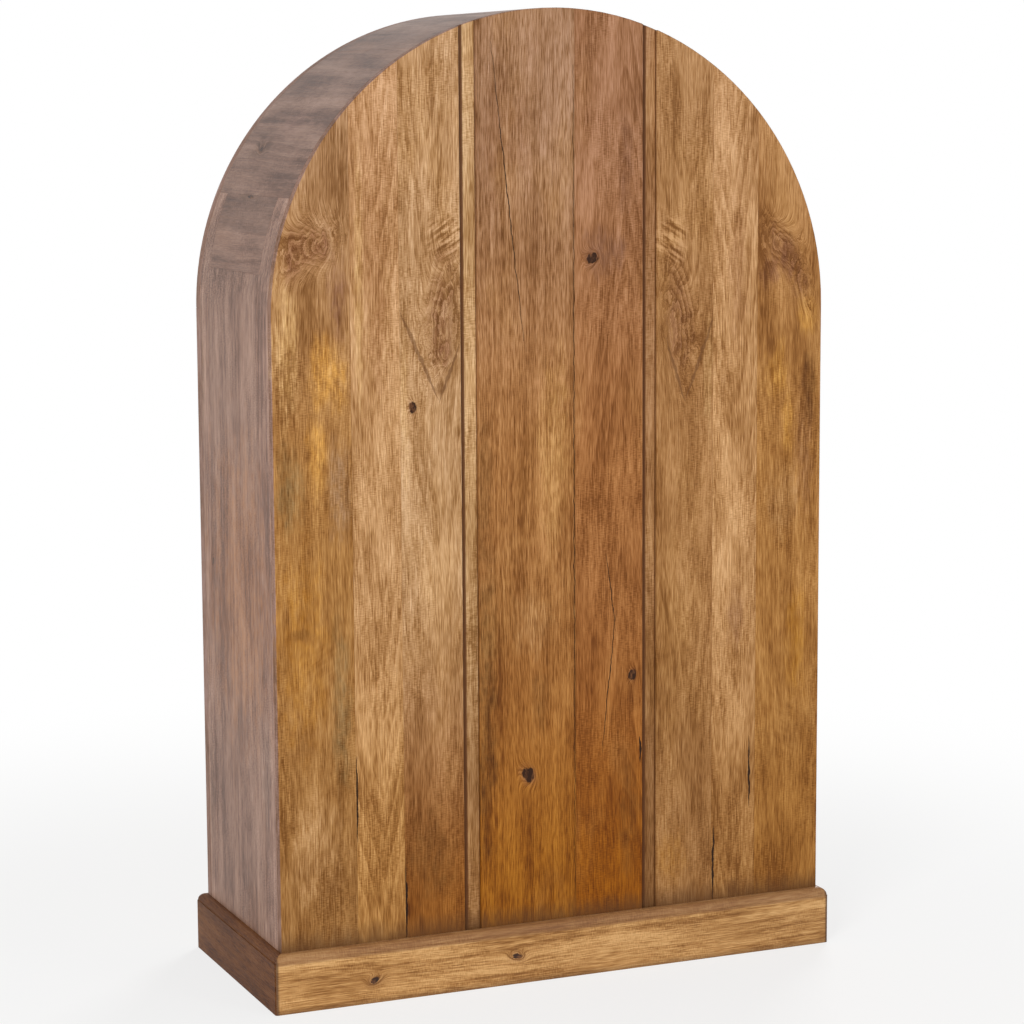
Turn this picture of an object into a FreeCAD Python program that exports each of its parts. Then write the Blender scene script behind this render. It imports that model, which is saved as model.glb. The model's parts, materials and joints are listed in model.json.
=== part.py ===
import FreeCAD, Part
import math
import os

# Arched wooden cabinet with a pair of carved doors, in the Moroccan manner.
# Millimetres. X runs to the right seen from the front, Y from front to back, Z up.
# The origin is on the floor, under the middle of the plinth.
# Left and right are as seen by someone who faces the doors.

# The body: straight sides under a half-round hood
body_width = 1100.0
body_depth = 442.0
body_height = 1800.0
side_thickness = 22.0
front_thickness = 24.0
back_thickness = 18.0

# Side boards: a wide middle board between two narrow posts
front_post_width = 48.0
rear_post_width = 60.0
side_board_top_angle = 8.4
post_top_angle = 23.2

# Hood staves, counted round the half circle
short_stave_count = 2
long_stave_count = 18
crown_stave_count = 6

# Back boards in three panels, with a narrow recessed strip between each two.
# The boards' edges run from left to right, as shares of the body's width.
back_panel_edge_shares = (
    (-0.5, -0.376, -0.291, -0.185),
    (-0.158, -0.033, 0.143),
    (0.173, 0.280, 0.365, 0.5),
)
back_strip_recess = 6.0

# Plinth boards with a quirk and an ovolo along the top
plinth_height = 110.0
plinth_thickness = 18.0
plinth_quirk = 2.0
plinth_ovolo_height = 15.0
plinth_top_ledge = 1.5
plinth_corner_radius = 5.0
corner_block_size = 40.0
corner_block_height = 92.0

# Face frame round the door opening
frame_width = 60.0
frame_rail_bottom = 40.0
opening_bottom = 150.0

# Inside: bottom board, shelves on cleats
bottom_board_thickness = 18.0
shelf_names = ("shelf_lower", "shelf_middle", "shelf_upper")
upper_shelf_drop = 20.0
shelf_thickness = 20.0
shelf_setback = 20.0
cleat_size = 20.0
cleat_setback = 30.0

# Doors: framed, each a half arch
door_gap = 2.0
centre_gap = 3.0
door_stile_width = 58.0
meeting_stile_width = 50.0
bottom_rail_height = 94.0
lock_rail_height = 58.0

# Door panels: a carved field with a tongue that sits in the frame's groove
panel_front_recess = 5.0
panel_back_recess = 4.0
panel_edge_clearance = 0.5
tongue_thickness = 8.0
tongue_depth = 8.0
groove_depth = 10.0

# Carving: sunk eight-pointed stars in rows within a plain border, with crosses standing between
cells_across = 3
lower_cell_rows = 4
carving_depth = 3.5
strap_width = 8.0
carving_border = 9.0

# Lift-off butt hinges: the frame's solid knuckle stands below and carries the pin
hinge_height_shares = (0.1, 0.5, 0.9)
hinge_height = 84.0
knuckle_radius = 5.0
knuckle_standoff = 0.5
knuckle_gap = 0.3
hinge_pin_radius = 2.5
hinge_pin_clearance = 0.05
hinge_pin_tip = 3.0
leaf_thickness = 1.8
leaf_reach = 19.0

# Ring pulls on star-shaped plates
pull_height = 930.0
pull_plate_radius = 22.0
pull_plate_thickness = 3.0
ring_radius = 20.0
ring_side_count = 16
ring_wire_radius = 2.5
ring_wire_side_count = 6
ring_plate_gap = 0.5
eye_wall = 2.0
eye_width = 8.0
eye_bore_clearance = 0.9

# Magnetic catches under the middle shelf
catch_width = 36.0
catch_height = 14.0
catch_plate_thickness = 1.5
catch_gap = 0.3

# How far a cutting solid runs past what it cuts
overrun = 4.0

half_turn_angle = 180.0

# Places that follow from the sizes
half_width = body_width / 2
spring_height = body_height - half_width
front_face = -body_depth / 2
back_face = body_depth / 2
carcass_front = front_face + front_thickness
carcass_back = back_face - back_thickness
inner_radius = half_width - side_thickness
front_joint = carcass_front + front_post_width
rear_joint = carcass_back - rear_post_width
bottom_board_underside = opening_bottom - bottom_board_thickness
shelf_front = carcass_front + shelf_setback
shelf_pitch = (spring_height - upper_shelf_drop - opening_bottom) / len(shelf_names)

opening_radius = half_width - frame_width
door_radius = opening_radius - door_gap
door_bottom = opening_bottom + door_gap
meeting_edge = centre_gap / 2
field_radius = door_radius - door_stile_width
field_edge = meeting_edge + meeting_stile_width
cell = (field_radius - field_edge - 2 * carving_border) / cells_across
lower_field_bottom = door_bottom + bottom_rail_height
lower_field_top = lower_field_bottom + lower_cell_rows * cell + 2 * carving_border
upper_field_bottom = lower_field_top + lock_rail_height
panel_front = front_face + panel_front_recess
panel_back = carcass_front - panel_back_recess
panel_middle = (panel_front + panel_back) / 2
tongue_span = (panel_middle - tongue_thickness / 2, panel_middle + tongue_thickness / 2)

hinge_x = -opening_radius + door_gap / 2
hinge_y = front_face - knuckle_standoff - knuckle_radius
hinge_range = spring_height - door_bottom
hinge_centres = [door_bottom + share * hinge_range for share in hinge_height_shares]
pin_bore_radius = hinge_pin_radius + hinge_pin_clearance

pull_x = -meeting_edge - meeting_stile_width / 2
pull_plate_front = front_face - pull_plate_thickness
ring_y = pull_plate_front - ring_plate_gap - ring_wire_radius
eye_bore_radius = ring_wire_radius + eye_bore_clearance
eye_reach = eye_bore_radius + eye_wall
catch_top = opening_bottom + 2 * shelf_pitch - shelf_thickness

x_axis = FreeCAD.Vector(1, 0, 0)
y_axis = FreeCAD.Vector(0, 1, 0)
z_axis = FreeCAD.Vector(0, 0, 1)
origin = FreeCAD.Vector(0, 0, 0)

nodes = {}


def box(x_span, y_span, z_span):
    corner = FreeCAD.Vector(x_span[0], y_span[0], z_span[0])
    size = [span[1] - span[0] for span in (x_span, y_span, z_span)]
    return Part.makeBox(size[0], size[1], size[2], corner)


def mirrored(shape):
    return shape.mirror(origin, x_axis)


def upright_point(x, z):
    return FreeCAD.Vector(x, 0, z)


def arch_point(radius, angle):
    turn = math.radians(angle)
    return upright_point(radius * math.cos(turn), spring_height + radius * math.sin(turn))


def arch_arc(radius, start, end):
    middle = (start + end) / 2
    ends = [arch_point(radius, angle) for angle in (start, middle, end)]
    return Part.Arc(*ends).toShape()


def line(start, end):
    return Part.LineSegment(start, end).toShape()


def upright_prism(edges, y_span):
    face = Part.Face(Part.Wire(edges))
    face.translate(y_span[0] * y_axis)
    return face.extrude((y_span[1] - y_span[0]) * y_axis)


def polygon_prism(points, y_span):
    closed = list(points) + [points[0]]
    edges = [line(start, end) for start, end in zip(closed, closed[1:])]
    return upright_prism(edges, y_span)


# A whole arch: straight legs from the bottom to the spring line, then a half circle
def arch_prism(radius, bottom, y_span):
    left_foot = upright_point(-radius, bottom)
    right_foot = upright_point(radius, bottom)
    edges = [
        line(left_foot, right_foot),
        line(right_foot, arch_point(radius, 0)),
        arch_arc(radius, 0, half_turn_angle),
        line(arch_point(radius, half_turn_angle), left_foot),
    ]
    return upright_prism(edges, y_span)


# A stretch of a ring round the arch's centre
def arch_stave(inner, outer, start, end, y_span):
    edges = [
        arch_arc(outer, start, end),
        line(arch_point(outer, end), arch_point(inner, end)),
        arch_arc(inner, end, start),
        line(arch_point(inner, start), arch_point(outer, start)),
    ]
    return upright_prism(edges, y_span)


# A side board on the right, straight to the spring line and bent above it
def side_board(top_angle, y_span):
    inner_foot = upright_point(inner_radius, 0)
    outer_foot = upright_point(half_width, 0)
    edges = [
        line(inner_foot, outer_foot),
        line(outer_foot, arch_point(half_width, 0)),
        arch_arc(half_width, 0, top_angle),
        line(arch_point(half_width, top_angle), arch_point(inner_radius, top_angle)),
        arch_arc(inner_radius, top_angle, 0),
        line(arch_point(inner_radius, 0), inner_foot),
    ]
    return upright_prism(edges, y_span)


def make_sides():
    board = side_board(side_board_top_angle, (front_joint, rear_joint))
    posts = Part.makeCompound([
        side_board(post_top_angle, (carcass_front, front_joint)),
        side_board(post_top_angle, (rear_joint, carcass_back)),
    ])
    nodes["side_board_right"] = board
    nodes["side_board_left"] = mirrored(board)
    nodes["side_posts_right"] = posts
    nodes["side_posts_left"] = mirrored(posts)


def stave_run(start, end, count, y_span):
    step = (end - start) / count
    return [
        arch_stave(inner_radius, half_width, start + n * step, start + (n + 1) * step, y_span)
        for n in range(count)
    ]


def make_hood():
    long_step = (half_turn_angle - 2 * post_top_angle) / long_stave_count
    crown_start = (half_turn_angle - crown_stave_count * long_step) / 2
    flank_count = (long_stave_count - crown_stave_count) // 2
    short = stave_run(side_board_top_angle, post_top_angle, short_stave_count,
                      (front_joint, rear_joint))
    full_depth = (carcass_front, carcass_back)
    flank = stave_run(post_top_angle, crown_start, flank_count, full_depth)
    crown_end = half_turn_angle - crown_start
    crown = stave_run(crown_start, crown_end, crown_stave_count, full_depth)
    nodes["hood_staves_right"] = Part.makeCompound(short + flank)
    nodes["hood_staves_left"] = mirrored(nodes["hood_staves_right"])
    nodes["hood_staves_crown"] = Part.makeCompound(crown)


def back_board(x_span, outer):
    y_span = (carcass_back, outer)
    board = box(x_span, y_span, (0, body_height))
    return board.common(arch_prism(half_width, 0, y_span))


# Back boards laid over the carcass, their tops cut to the arch
def make_back():
    panels = [[share * body_width for share in shares] for shares in back_panel_edge_shares]
    spans = [span for edges in panels for span in zip(edges, edges[1:])]
    for number, span in enumerate(spans):
        nodes["back_plank_" + str(number + 1)] = back_board(span, back_face)
    left, middle, right = panels
    strip_face = back_face - back_strip_recess
    nodes["back_strip_left"] = back_board((left[-1], middle[0]), strip_face)
    nodes["back_strip_right"] = back_board((middle[-1], right[0]), strip_face)


# The plinth board's section, from the body's face outwards and up from the floor
def plinth_section():
    shoulder = plinth_height - plinth_ovolo_height
    inner_foot = FreeCAD.Vector(0, 0, 0)
    outer_foot = FreeCAD.Vector(plinth_thickness, 0, 0)
    face_top = FreeCAD.Vector(plinth_thickness, 0, shoulder)
    quirk_foot = FreeCAD.Vector(plinth_thickness - plinth_quirk, 0, shoulder)
    ledge_outer = FreeCAD.Vector(plinth_top_ledge, 0, plinth_height)
    ledge_inner = FreeCAD.Vector(0, 0, plinth_height)
    ovolo_width = plinth_thickness - plinth_quirk - plinth_top_ledge
    bulge = math.sqrt(0.5)
    ovolo_middle = FreeCAD.Vector(plinth_top_ledge + bulge * ovolo_width, 0,
                                  shoulder + bulge * plinth_ovolo_height)
    edges = [
        line(inner_foot, outer_foot),
        line(outer_foot, face_top),
        line(face_top, quirk_foot),
        Part.Arc(quirk_foot, ovolo_middle, ledge_outer).toShape(),
        line(ledge_outer, ledge_inner),
        line(ledge_inner, inner_foot),
    ]
    return Part.Face(Part.Wire(edges))


# A board along the side of a block of half sizes a (across) and b (along), mitred at both ends
def plinth_board(across, along):
    board = plinth_section()
    outer = along + plinth_thickness
    board.translate(FreeCAD.Vector(across, -outer, 0))
    board = board.extrude(2 * outer * y_axis)
    corners = [
        FreeCAD.Vector(across, -along, 0),
        FreeCAD.Vector(across + plinth_thickness, -outer, 0),
        FreeCAD.Vector(across + plinth_thickness, outer, 0),
        FreeCAD.Vector(across, along, 0),
    ]
    mitre = Part.Face(Part.makePolygon(corners + corners[:1])).extrude(plinth_height * z_axis)
    return board.common(mitre)


def make_plinth():
    half_depth = body_depth / 2
    footprint = box(
        (-half_width - plinth_thickness, half_width + plinth_thickness),
        (-half_depth - plinth_thickness, half_depth + plinth_thickness),
        (0, plinth_height),
    )
    uprights = [edge for edge in footprint.Edges if edge.tangentAt(0).cross(z_axis).Length < 0.5]
    footprint = footprint.makeFillet(plinth_corner_radius, uprights)
    side = plinth_board(half_width, half_depth)
    end = plinth_board(half_depth, half_width)
    back = end.rotated(origin, z_axis, 90)
    front = end.rotated(origin, z_axis, -90)
    nodes["plinth_right"] = side.common(footprint)
    nodes["plinth_left"] = mirrored(nodes["plinth_right"])
    nodes["plinth_back"] = back.common(footprint)
    nodes["plinth_front"] = front.common(footprint)

    x_span = (inner_radius - corner_block_size, inner_radius)
    z_span = (bottom_board_underside - corner_block_height, bottom_board_underside)
    front_block = box(x_span, (carcass_front, carcass_front + corner_block_size), z_span)
    rear_block = box(x_span, (carcass_back - corner_block_size, carcass_back), z_span)
    blocks = [front_block, rear_block]
    nodes["corner_blocks"] = Part.makeCompound(blocks + [mirrored(b) for b in blocks])


def make_face_frame():
    y_span = (front_face, carcass_front)
    stile = box((-half_width, -opening_radius), y_span, (0, spring_height))
    for centre in hinge_centres:
        stile = stile.cut(leaf_mortise(-opening_radius - leaf_thickness, centre))
    rail_span = (-opening_radius, opening_radius)
    arch = arch_stave(opening_radius, half_width, half_turn_angle / 2, half_turn_angle, y_span)
    nodes["frame_stile_left"] = stile
    nodes["frame_stile_right"] = mirrored(stile)
    nodes["frame_arch_left"] = arch
    nodes["frame_arch_right"] = mirrored(arch)
    nodes["frame_bottom_rail"] = box(rail_span, y_span, (frame_rail_bottom, opening_bottom))


def make_inside():
    x_span = (-inner_radius, inner_radius)
    nodes["bottom_board"] = box(x_span, (carcass_front, carcass_back),
                                (bottom_board_underside, opening_bottom))
    cleats = []
    cleat_span = (shelf_front + cleat_setback, carcass_back)
    for number, name in enumerate(shelf_names):
        top = opening_bottom + (number + 1) * shelf_pitch
        underside = top - shelf_thickness
        nodes[name] = box(x_span, (shelf_front, carcass_back), (underside, top))
        cleat = box((inner_radius - cleat_size, inner_radius), cleat_span,
                    (underside - cleat_size, underside))
        cleats += [cleat, mirrored(cleat)]
    nodes["shelf_cleats"] = Part.makeCompound(cleats)

    catch_front = carcass_front + catch_plate_thickness + catch_gap
    catch_back = shelf_front + cleat_size
    catch = box((pull_x - catch_width / 2, pull_x + catch_width / 2), (catch_front, catch_back),
                (catch_top - catch_height, catch_top))
    nodes["magnetic_catches"] = Part.makeCompound([catch, mirrored(catch)])


# The space that a leaf takes in a stile's edge, from one face of the leaf
def leaf_mortise(x_low, centre):
    return box((x_low, x_low + leaf_thickness), (front_face, front_face + leaf_reach),
               (centre - hinge_height / 2, centre + hinge_height / 2))


# One leaf: a plate in the stile's edge, and a barrel knuckle joined to it by a tab
def hinge_leaf(x_low, centre, z_span):
    tab = box((x_low, x_low + leaf_thickness), (hinge_y, front_face), z_span)
    foot = FreeCAD.Vector(hinge_x, hinge_y, z_span[0])
    barrel = Part.makeCylinder(knuckle_radius, z_span[1] - z_span[0], foot)
    return leaf_mortise(x_low, centre).fuse(tab).fuse(barrel).removeSplitter()


def frame_leaf(centre):
    z_span = (centre - hinge_height / 2, centre - knuckle_gap / 2)
    return hinge_leaf(-opening_radius - leaf_thickness, centre, z_span)


def door_leaf(centre):
    z_span = (centre + knuckle_gap / 2, centre + hinge_height / 2)
    bore_foot = FreeCAD.Vector(hinge_x, hinge_y, centre)
    bore = Part.makeCylinder(pin_bore_radius, hinge_height / 2 + overrun, bore_foot)
    return hinge_leaf(-door_radius, centre, z_span).cut(bore)


def hinge_pin(centre):
    foot = FreeCAD.Vector(hinge_x, hinge_y, centre - knuckle_gap / 2)
    length = knuckle_gap / 2 + hinge_height / 2 + hinge_pin_tip
    return Part.makeCylinder(hinge_pin_radius, length, foot)


def make_hinges():
    frame_leaves = Part.makeCompound([frame_leaf(centre) for centre in hinge_centres])
    door_leaves = Part.makeCompound([door_leaf(centre) for centre in hinge_centres])
    pins = Part.makeCompound([hinge_pin(centre) for centre in hinge_centres])
    nodes["hinge_frame_leaves_left"] = frame_leaves
    nodes["hinge_frame_leaves_right"] = mirrored(frame_leaves)
    nodes["hinge_door_leaves_left"] = door_leaves
    nodes["hinge_door_leaves_right"] = mirrored(door_leaves)
    nodes["hinge_pins_left"] = pins
    nodes["hinge_pins_right"] = mirrored(pins)


# The space inside a door's frame, grown on every side; with no top it runs to the arch
def panel_space(bottom, top, growth, y_span):
    x_span = (-field_radius - growth, -field_edge + growth)
    ceiling = top + growth if top else body_height
    space = box(x_span, y_span, (bottom - growth, ceiling))
    return space.common(arch_prism(field_radius + growth, 0, y_span))


# An eight-pointed star: two squares turned by an eighth, with points on the axes
def star_points(x, z, radius):
    notch = radius * math.cos(math.pi / 4) / math.cos(math.pi / 8)
    points = []
    for number in range(16):
        turn = number * math.pi / 8
        reach = notch if number % 2 else radius
        points.append(upright_point(x + reach * math.cos(turn), z + reach * math.sin(turn)))
    return points


# Whole stars only, as many as stand clear of the border
def carving_tool(bottom, top):
    y_span = (panel_front - overrun, panel_front + carving_depth)
    high = top if top else spring_height + field_radius
    rows = round((high - bottom - 2 * carving_border) / cell)
    star_radius = cell / 2 - strap_width / math.sqrt(2)
    pockets = []
    for row in range(rows):
        for column in range(cells_across):
            x = -field_edge - carving_border - (column + 0.5) * cell
            z = bottom + carving_border + (row + 0.5) * cell
            reach = math.hypot(x, max(z - spring_height, 0)) + star_radius
            if reach < field_radius - carving_border:
                pockets.append(polygon_prism(star_points(x, z, star_radius), y_span))
    return Part.makeCompound(pockets)


def carved_panel(bottom, top):
    field = panel_space(bottom, top, -panel_edge_clearance, (panel_front, panel_back))
    tongue = panel_space(bottom, top, tongue_depth, tongue_span)
    return field.fuse(tongue).cut(carving_tool(bottom, top)).removeSplitter()


def make_doors():
    y_span = (front_face, carcass_front)
    lower = (lower_field_bottom, lower_field_top)
    upper = (upper_field_bottom, None)
    rail_span = (-field_radius, -field_edge)
    whole = arch_prism(door_radius, door_bottom, y_span)
    outer = (-door_radius, -field_radius)
    inner = (-field_edge, -meeting_edge)
    arch = arch_stave(field_radius, door_radius, half_turn_angle / 2, half_turn_angle, y_span)
    arch_side = box((-door_radius, -field_edge), y_span, (spring_height, body_height))
    stile = box(outer, y_span, (door_bottom, spring_height))
    for centre in hinge_centres:
        stile = stile.cut(leaf_mortise(-door_radius, centre))
    members = {
        "hinge_stile": stile,
        "meeting_stile": box(inner, y_span, (door_bottom, body_height)).common(whole),
        "bottom_rail": box(rail_span, y_span, (door_bottom, lower_field_bottom)),
        "lock_rail": box(rail_span, y_span, (lower_field_top, upper_field_bottom)),
        "arched_rail": arch.common(arch_side),
    }
    grooves = [panel_space(bottom, top, groove_depth, tongue_span) for bottom, top in (lower, upper)]
    pieces = {name: member.cut(grooves) for name, member in members.items()}
    pieces["lower_panel"] = carved_panel(*lower)
    pieces["upper_panel"] = carved_panel(*upper)
    pieces["catch_plate"] = box(
        (pull_x - catch_width / 2, pull_x + catch_width / 2),
        (carcass_front, carcass_front + catch_plate_thickness),
        (catch_top - catch_height, catch_top),
    )
    for name, piece in pieces.items():
        nodes["door_left_" + name] = piece
        nodes["door_right_" + name] = mirrored(piece)


# One section of the ring's wire, at a turn round the ring's centre
def wire_section(centre, turn):
    points = []
    for number in range(ring_wire_side_count):
        around = 2 * math.pi * number / ring_wire_side_count
        reach = ring_radius + ring_wire_radius * math.cos(around)
        offset = FreeCAD.Vector(reach * math.sin(turn), ring_wire_radius * math.sin(around),
                                reach * math.cos(turn))
        points.append(centre + offset)
    return points


# A ring of bar, forged with flats
def forged_ring(centre):
    turns = [2 * math.pi * number / ring_side_count for number in range(ring_side_count)]
    sections = [wire_section(centre, turn) for turn in turns]
    flats = []
    for number, section in enumerate(sections):
        before = sections[number - 1]
        for side in range(ring_wire_side_count):
            corners = [before[side], section[side], section[side - 1], before[side - 1]]
            flats.append(Part.Face(Part.makePolygon(corners + corners[:1])))
    return Part.makeSolid(Part.makeShell(flats))


def make_pulls():
    plate_span = (pull_plate_front, front_face)
    plate = polygon_prism(star_points(pull_x, pull_height, pull_plate_radius), plate_span)
    half_eye = eye_width / 2
    eye_start = FreeCAD.Vector(pull_x - half_eye, ring_y, pull_height)
    eye = box((pull_x - half_eye, pull_x + half_eye), (ring_y - eye_reach, front_face),
              (pull_height - eye_reach, pull_height + eye_reach))
    bore = Part.makeCylinder(eye_bore_radius, eye_width + 2 * overrun,
                             eye_start - overrun * x_axis, x_axis)
    plate = plate.fuse(eye).cut(bore).removeSplitter()
    ring_centre = FreeCAD.Vector(pull_x, ring_y, pull_height - ring_radius)
    ring = forged_ring(ring_centre)
    nodes["pull_plate_left"] = plate
    nodes["pull_plate_right"] = mirrored(plate)
    nodes["pull_ring_left"] = ring
    nodes["pull_ring_right"] = mirrored(ring)


make_sides()
make_hood()
make_back()
make_plinth()
make_face_frame()
make_inside()
make_hinges()
make_doors()
make_pulls()

os.makedirs("parts", exist_ok=True)
for name, shape in nodes.items():
    shape.exportStep("parts/" + name + ".step")
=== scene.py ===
import json
import math

import bmesh
import bpy
from mathutils import Matrix, Vector

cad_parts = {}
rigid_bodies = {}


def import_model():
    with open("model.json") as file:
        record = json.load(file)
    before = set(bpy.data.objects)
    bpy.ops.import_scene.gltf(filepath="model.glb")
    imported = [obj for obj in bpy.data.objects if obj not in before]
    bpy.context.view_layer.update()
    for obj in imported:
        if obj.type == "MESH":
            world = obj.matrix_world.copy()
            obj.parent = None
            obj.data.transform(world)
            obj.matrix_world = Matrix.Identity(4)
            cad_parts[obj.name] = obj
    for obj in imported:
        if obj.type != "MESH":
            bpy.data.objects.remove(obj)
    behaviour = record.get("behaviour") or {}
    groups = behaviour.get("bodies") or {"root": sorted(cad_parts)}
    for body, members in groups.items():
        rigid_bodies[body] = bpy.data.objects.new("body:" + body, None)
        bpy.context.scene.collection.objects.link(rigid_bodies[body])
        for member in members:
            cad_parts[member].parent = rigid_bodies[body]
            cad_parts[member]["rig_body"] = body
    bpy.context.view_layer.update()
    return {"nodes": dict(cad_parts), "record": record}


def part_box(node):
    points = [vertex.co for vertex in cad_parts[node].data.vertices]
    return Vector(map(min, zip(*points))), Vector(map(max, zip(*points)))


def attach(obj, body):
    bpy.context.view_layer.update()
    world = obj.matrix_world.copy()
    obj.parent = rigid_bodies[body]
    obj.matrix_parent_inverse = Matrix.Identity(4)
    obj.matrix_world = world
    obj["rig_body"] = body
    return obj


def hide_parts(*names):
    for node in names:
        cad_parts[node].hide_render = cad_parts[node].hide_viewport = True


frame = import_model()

# Metres. X runs to the right seen from the front, Y from front to back, Z up.

# The body, its hood and its plinth
BODY_HALF_WIDTH = 0.550
BODY_HALF_DEPTH = 0.221
SPRING_HEIGHT = 1.250
SIDE_THICKNESS = 0.022
PLINTH_HALF_LENGTH = 0.568
PLINTH_HEIGHT = 0.110
MOULDING_FOOT = 0.091

# Hood staves: where the runs start, in degrees round the arch, how many there are, and their bends
SHORT_STAVES_START = 8.4
LONG_STAVES_START = 23.2
SHORT_STAVE_COUNT = 2
LONG_STAVE_COUNT = 18
CROWN_STAVE_COUNT = 6
STAVE_BENDS = 6

# The doors' carving, as it lies on the left door. X there is negative.
FIELD_EDGE = 0.0515
FIELD_RADIUS = 0.430
CARVED_BORDER = 0.009
CELL = 0.1201667
CELLS_ACROSS = 3
STAR_RADIUS = 0.0544264
PANEL_FRONT = -0.216
POCKET_FLOOR = -0.2125
LOWER_FIELD = (0.246, 0.7446667)
UPPER_FIELD = (0.8026667, 1.680)

# The face frame and the doors' own frames. A stud is half length, half width and height.
FRONT_FACE = -0.221
FRAME_MIDDLE_RADIUS = 0.520
FRAME_RAIL_MIDDLE = 0.130
DOOR_RAIL_MIDDLE_RADIUS = 0.459
DOOR_FOOT_RAIL_MIDDLE = 0.199
LOCK_RAIL_MIDDLE = 0.7736667
DOOR_STUDS_FOOT = 0.160
DOOR_STUDS_HEAD = 1.680
DOOR_STUDS_END_ANGLE = 98.5
STUDS_BELOW_PULL = 0.055
STUDS_ABOVE_PULL = 0.035
DOOR_RAIL_STUDS_INSET = 0.012
FRAME_RAIL_STUDS_INSET = 0.020
FRAME_STUD = (0.012, 0.008, 0.0035)
FRAME_STUD_PITCH = 0.030
DOOR_STUD = (0.008, 0.0055, 0.0025)
DOOR_STUD_PITCH = 0.020
FRAME_LINES_APART = 0.0125
DOOR_LINES_APART = 0.0090

# Ring pulls and hinges, as they lie on the left door
PULL_X = -0.0265
PULL_HEIGHT = 0.930
RING_Y = -0.227
RING_RADIUS = 0.020
RING_WIRE = 0.0024
RING_SWELL = 0.06
PLATE_RADIUS = 0.022
PLATE_FRONT = -0.224
EYE_BORE = 0.0034
EYE_REACH = 0.0054
EYE_WIDTH = 0.008
HINGE_HEIGHTS = (0.2618, 0.7010, 1.1402)
FRAME_LEAF_FACE = -0.490
DOOR_LEAF_FACE = -0.488
LEAF_MIDDLE_Y = -0.2115
SCREW_RADIUS = 0.0026
SCREW_PITCH = 0.028
SCREW_RISE = 0.0003

# How far edges are eased
METAL_EDGE = 0.0003
HINGE_EDGE = 0.0004
STAVE_EDGE = 0.0004
SHARP_EDGE = 0.0005
BACK_EDGE = 0.0006
PANEL_EDGE = 0.0008
WORKED_EDGE = 0.0012

# The photograph's camera
CAMERA_PLACE = (2.1643, 5.0637, 1.6360)
CAMERA_AIM = (-0.0031, 0.0, 0.8541)
CAMERA_ROLL = -0.312
CAMERA_LENS = 102.11

# Tones of the wood
KNOT_DARK = (0.030, 0.011, 0.005)
KNOT_BROWN = (0.19, 0.075, 0.028)
SPLIT_DARK = (0.020, 0.008, 0.004)
VEIN_BROWN = (0.130, 0.052, 0.018)
# Dark joint lines at the strips' edges, and the painted shadow beside them
JOINT_AND_SHADOW_BROWN = (0.105, 0.036, 0.011)
PALE_GOLD = (0.56, 0.33, 0.135)
GOLD = (0.46, 0.235, 0.072)
HONEY = (0.52, 0.250, 0.055)
OCHRE = (0.35, 0.145, 0.020)
OLIVE = (0.21, 0.118, 0.042)
TAN = (0.46, 0.25, 0.10)
DUN = (0.29, 0.160, 0.078)
RUSSET = (0.225, 0.092, 0.038)
TAWNY = (0.34, 0.160, 0.062)
ROSE = (0.205, 0.088, 0.043)
UMBER = (0.15, 0.056, 0.011)
DEEP_BROWN = (0.10, 0.042, 0.015)
MAUVE = (0.260, 0.140, 0.095)
MOULDING_BROWN = (0.20, 0.088, 0.038)
CORNER_SHADE_DARK = (0.08, 0.034, 0.016)
PLINTH_GOLD = (0.46, 0.235, 0.076)
FRONT_BROWN = (0.32, 0.152, 0.058)
FRONT_PALE = (0.40, 0.200, 0.080)
HOLLOW_BROWN = (0.06, 0.026, 0.012)


# Node trees


class Wire:
    """What comes out of a node. A sum or product of wires adds the node that works it out."""

    def __init__(self, tree, socket):
        self.tree = tree
        self.socket = socket

    def __add__(self, other):
        return maths("ADD", self, other)

    def __radd__(self, other):
        return maths("ADD", other, self)

    def __sub__(self, other):
        return maths("SUBTRACT", self, other)

    def __rsub__(self, other):
        return maths("SUBTRACT", other, self)

    def __mul__(self, other):
        return maths("MULTIPLY", self, other)

    def __rmul__(self, other):
        return maths("MULTIPLY", other, self)

    def __truediv__(self, other):
        return maths("DIVIDE", self, other)

    def __pow__(self, other):
        return maths("POWER", self, other)

    def __abs__(self):
        return maths("ABSOLUTE", self)


def add_node(tree, kind, links=None, **settings):
    """Adds a node and returns its outputs as wires, by number and by name.

    The links map each input to a wire or to a value. A tuple of three is a colour.
    """
    node = tree.nodes.new(kind)
    for name, value in settings.items():
        setattr(node, name, value)
    for name, value in (links or {}).items():
        if isinstance(value, Wire):
            tree.links.new(value.socket, node.inputs[name])
        else:
            node.inputs[name].default_value = (*value, 1.0) if isinstance(value, tuple) else value
    wires = [Wire(tree, socket) for socket in node.outputs]
    return {**dict(enumerate(wires)), **{wire.socket.name: wire for wire in wires}}


def tree_of(values):
    return next(value.tree for value in values if isinstance(value, Wire))


def maths(operation, *values):
    return add_node(tree_of(values), "ShaderNodeMath", dict(enumerate(values)), operation=operation)[0]


def larger(a, b):
    return maths("MAXIMUM", a, b)


def smaller(a, b):
    return maths("MINIMUM", a, b)


def below(value, limit):
    return maths("LESS_THAN", value, limit)


def above(value, limit):
    return maths("GREATER_THAN", value, limit)


def length(a, b):
    return maths("SQRT", a * a + b * b)


def vector(*values):
    return add_node(tree_of(values), "ShaderNodeCombineXYZ", dict(enumerate(values)))[0]


def axes(point):
    parts = add_node(point.tree, "ShaderNodeSeparateXYZ", {0: point})
    return parts[0], parts[1], parts[2]


def noise(point, detail=2.0, roughness=0.5):
    """A noise in 3-D that lies between 0 and 1."""
    links = {"Vector": point, "Scale": 1.0, "Detail": detail, "Roughness": roughness}
    return add_node(point.tree, "ShaderNodeTexNoise", links)["Fac"]


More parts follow.
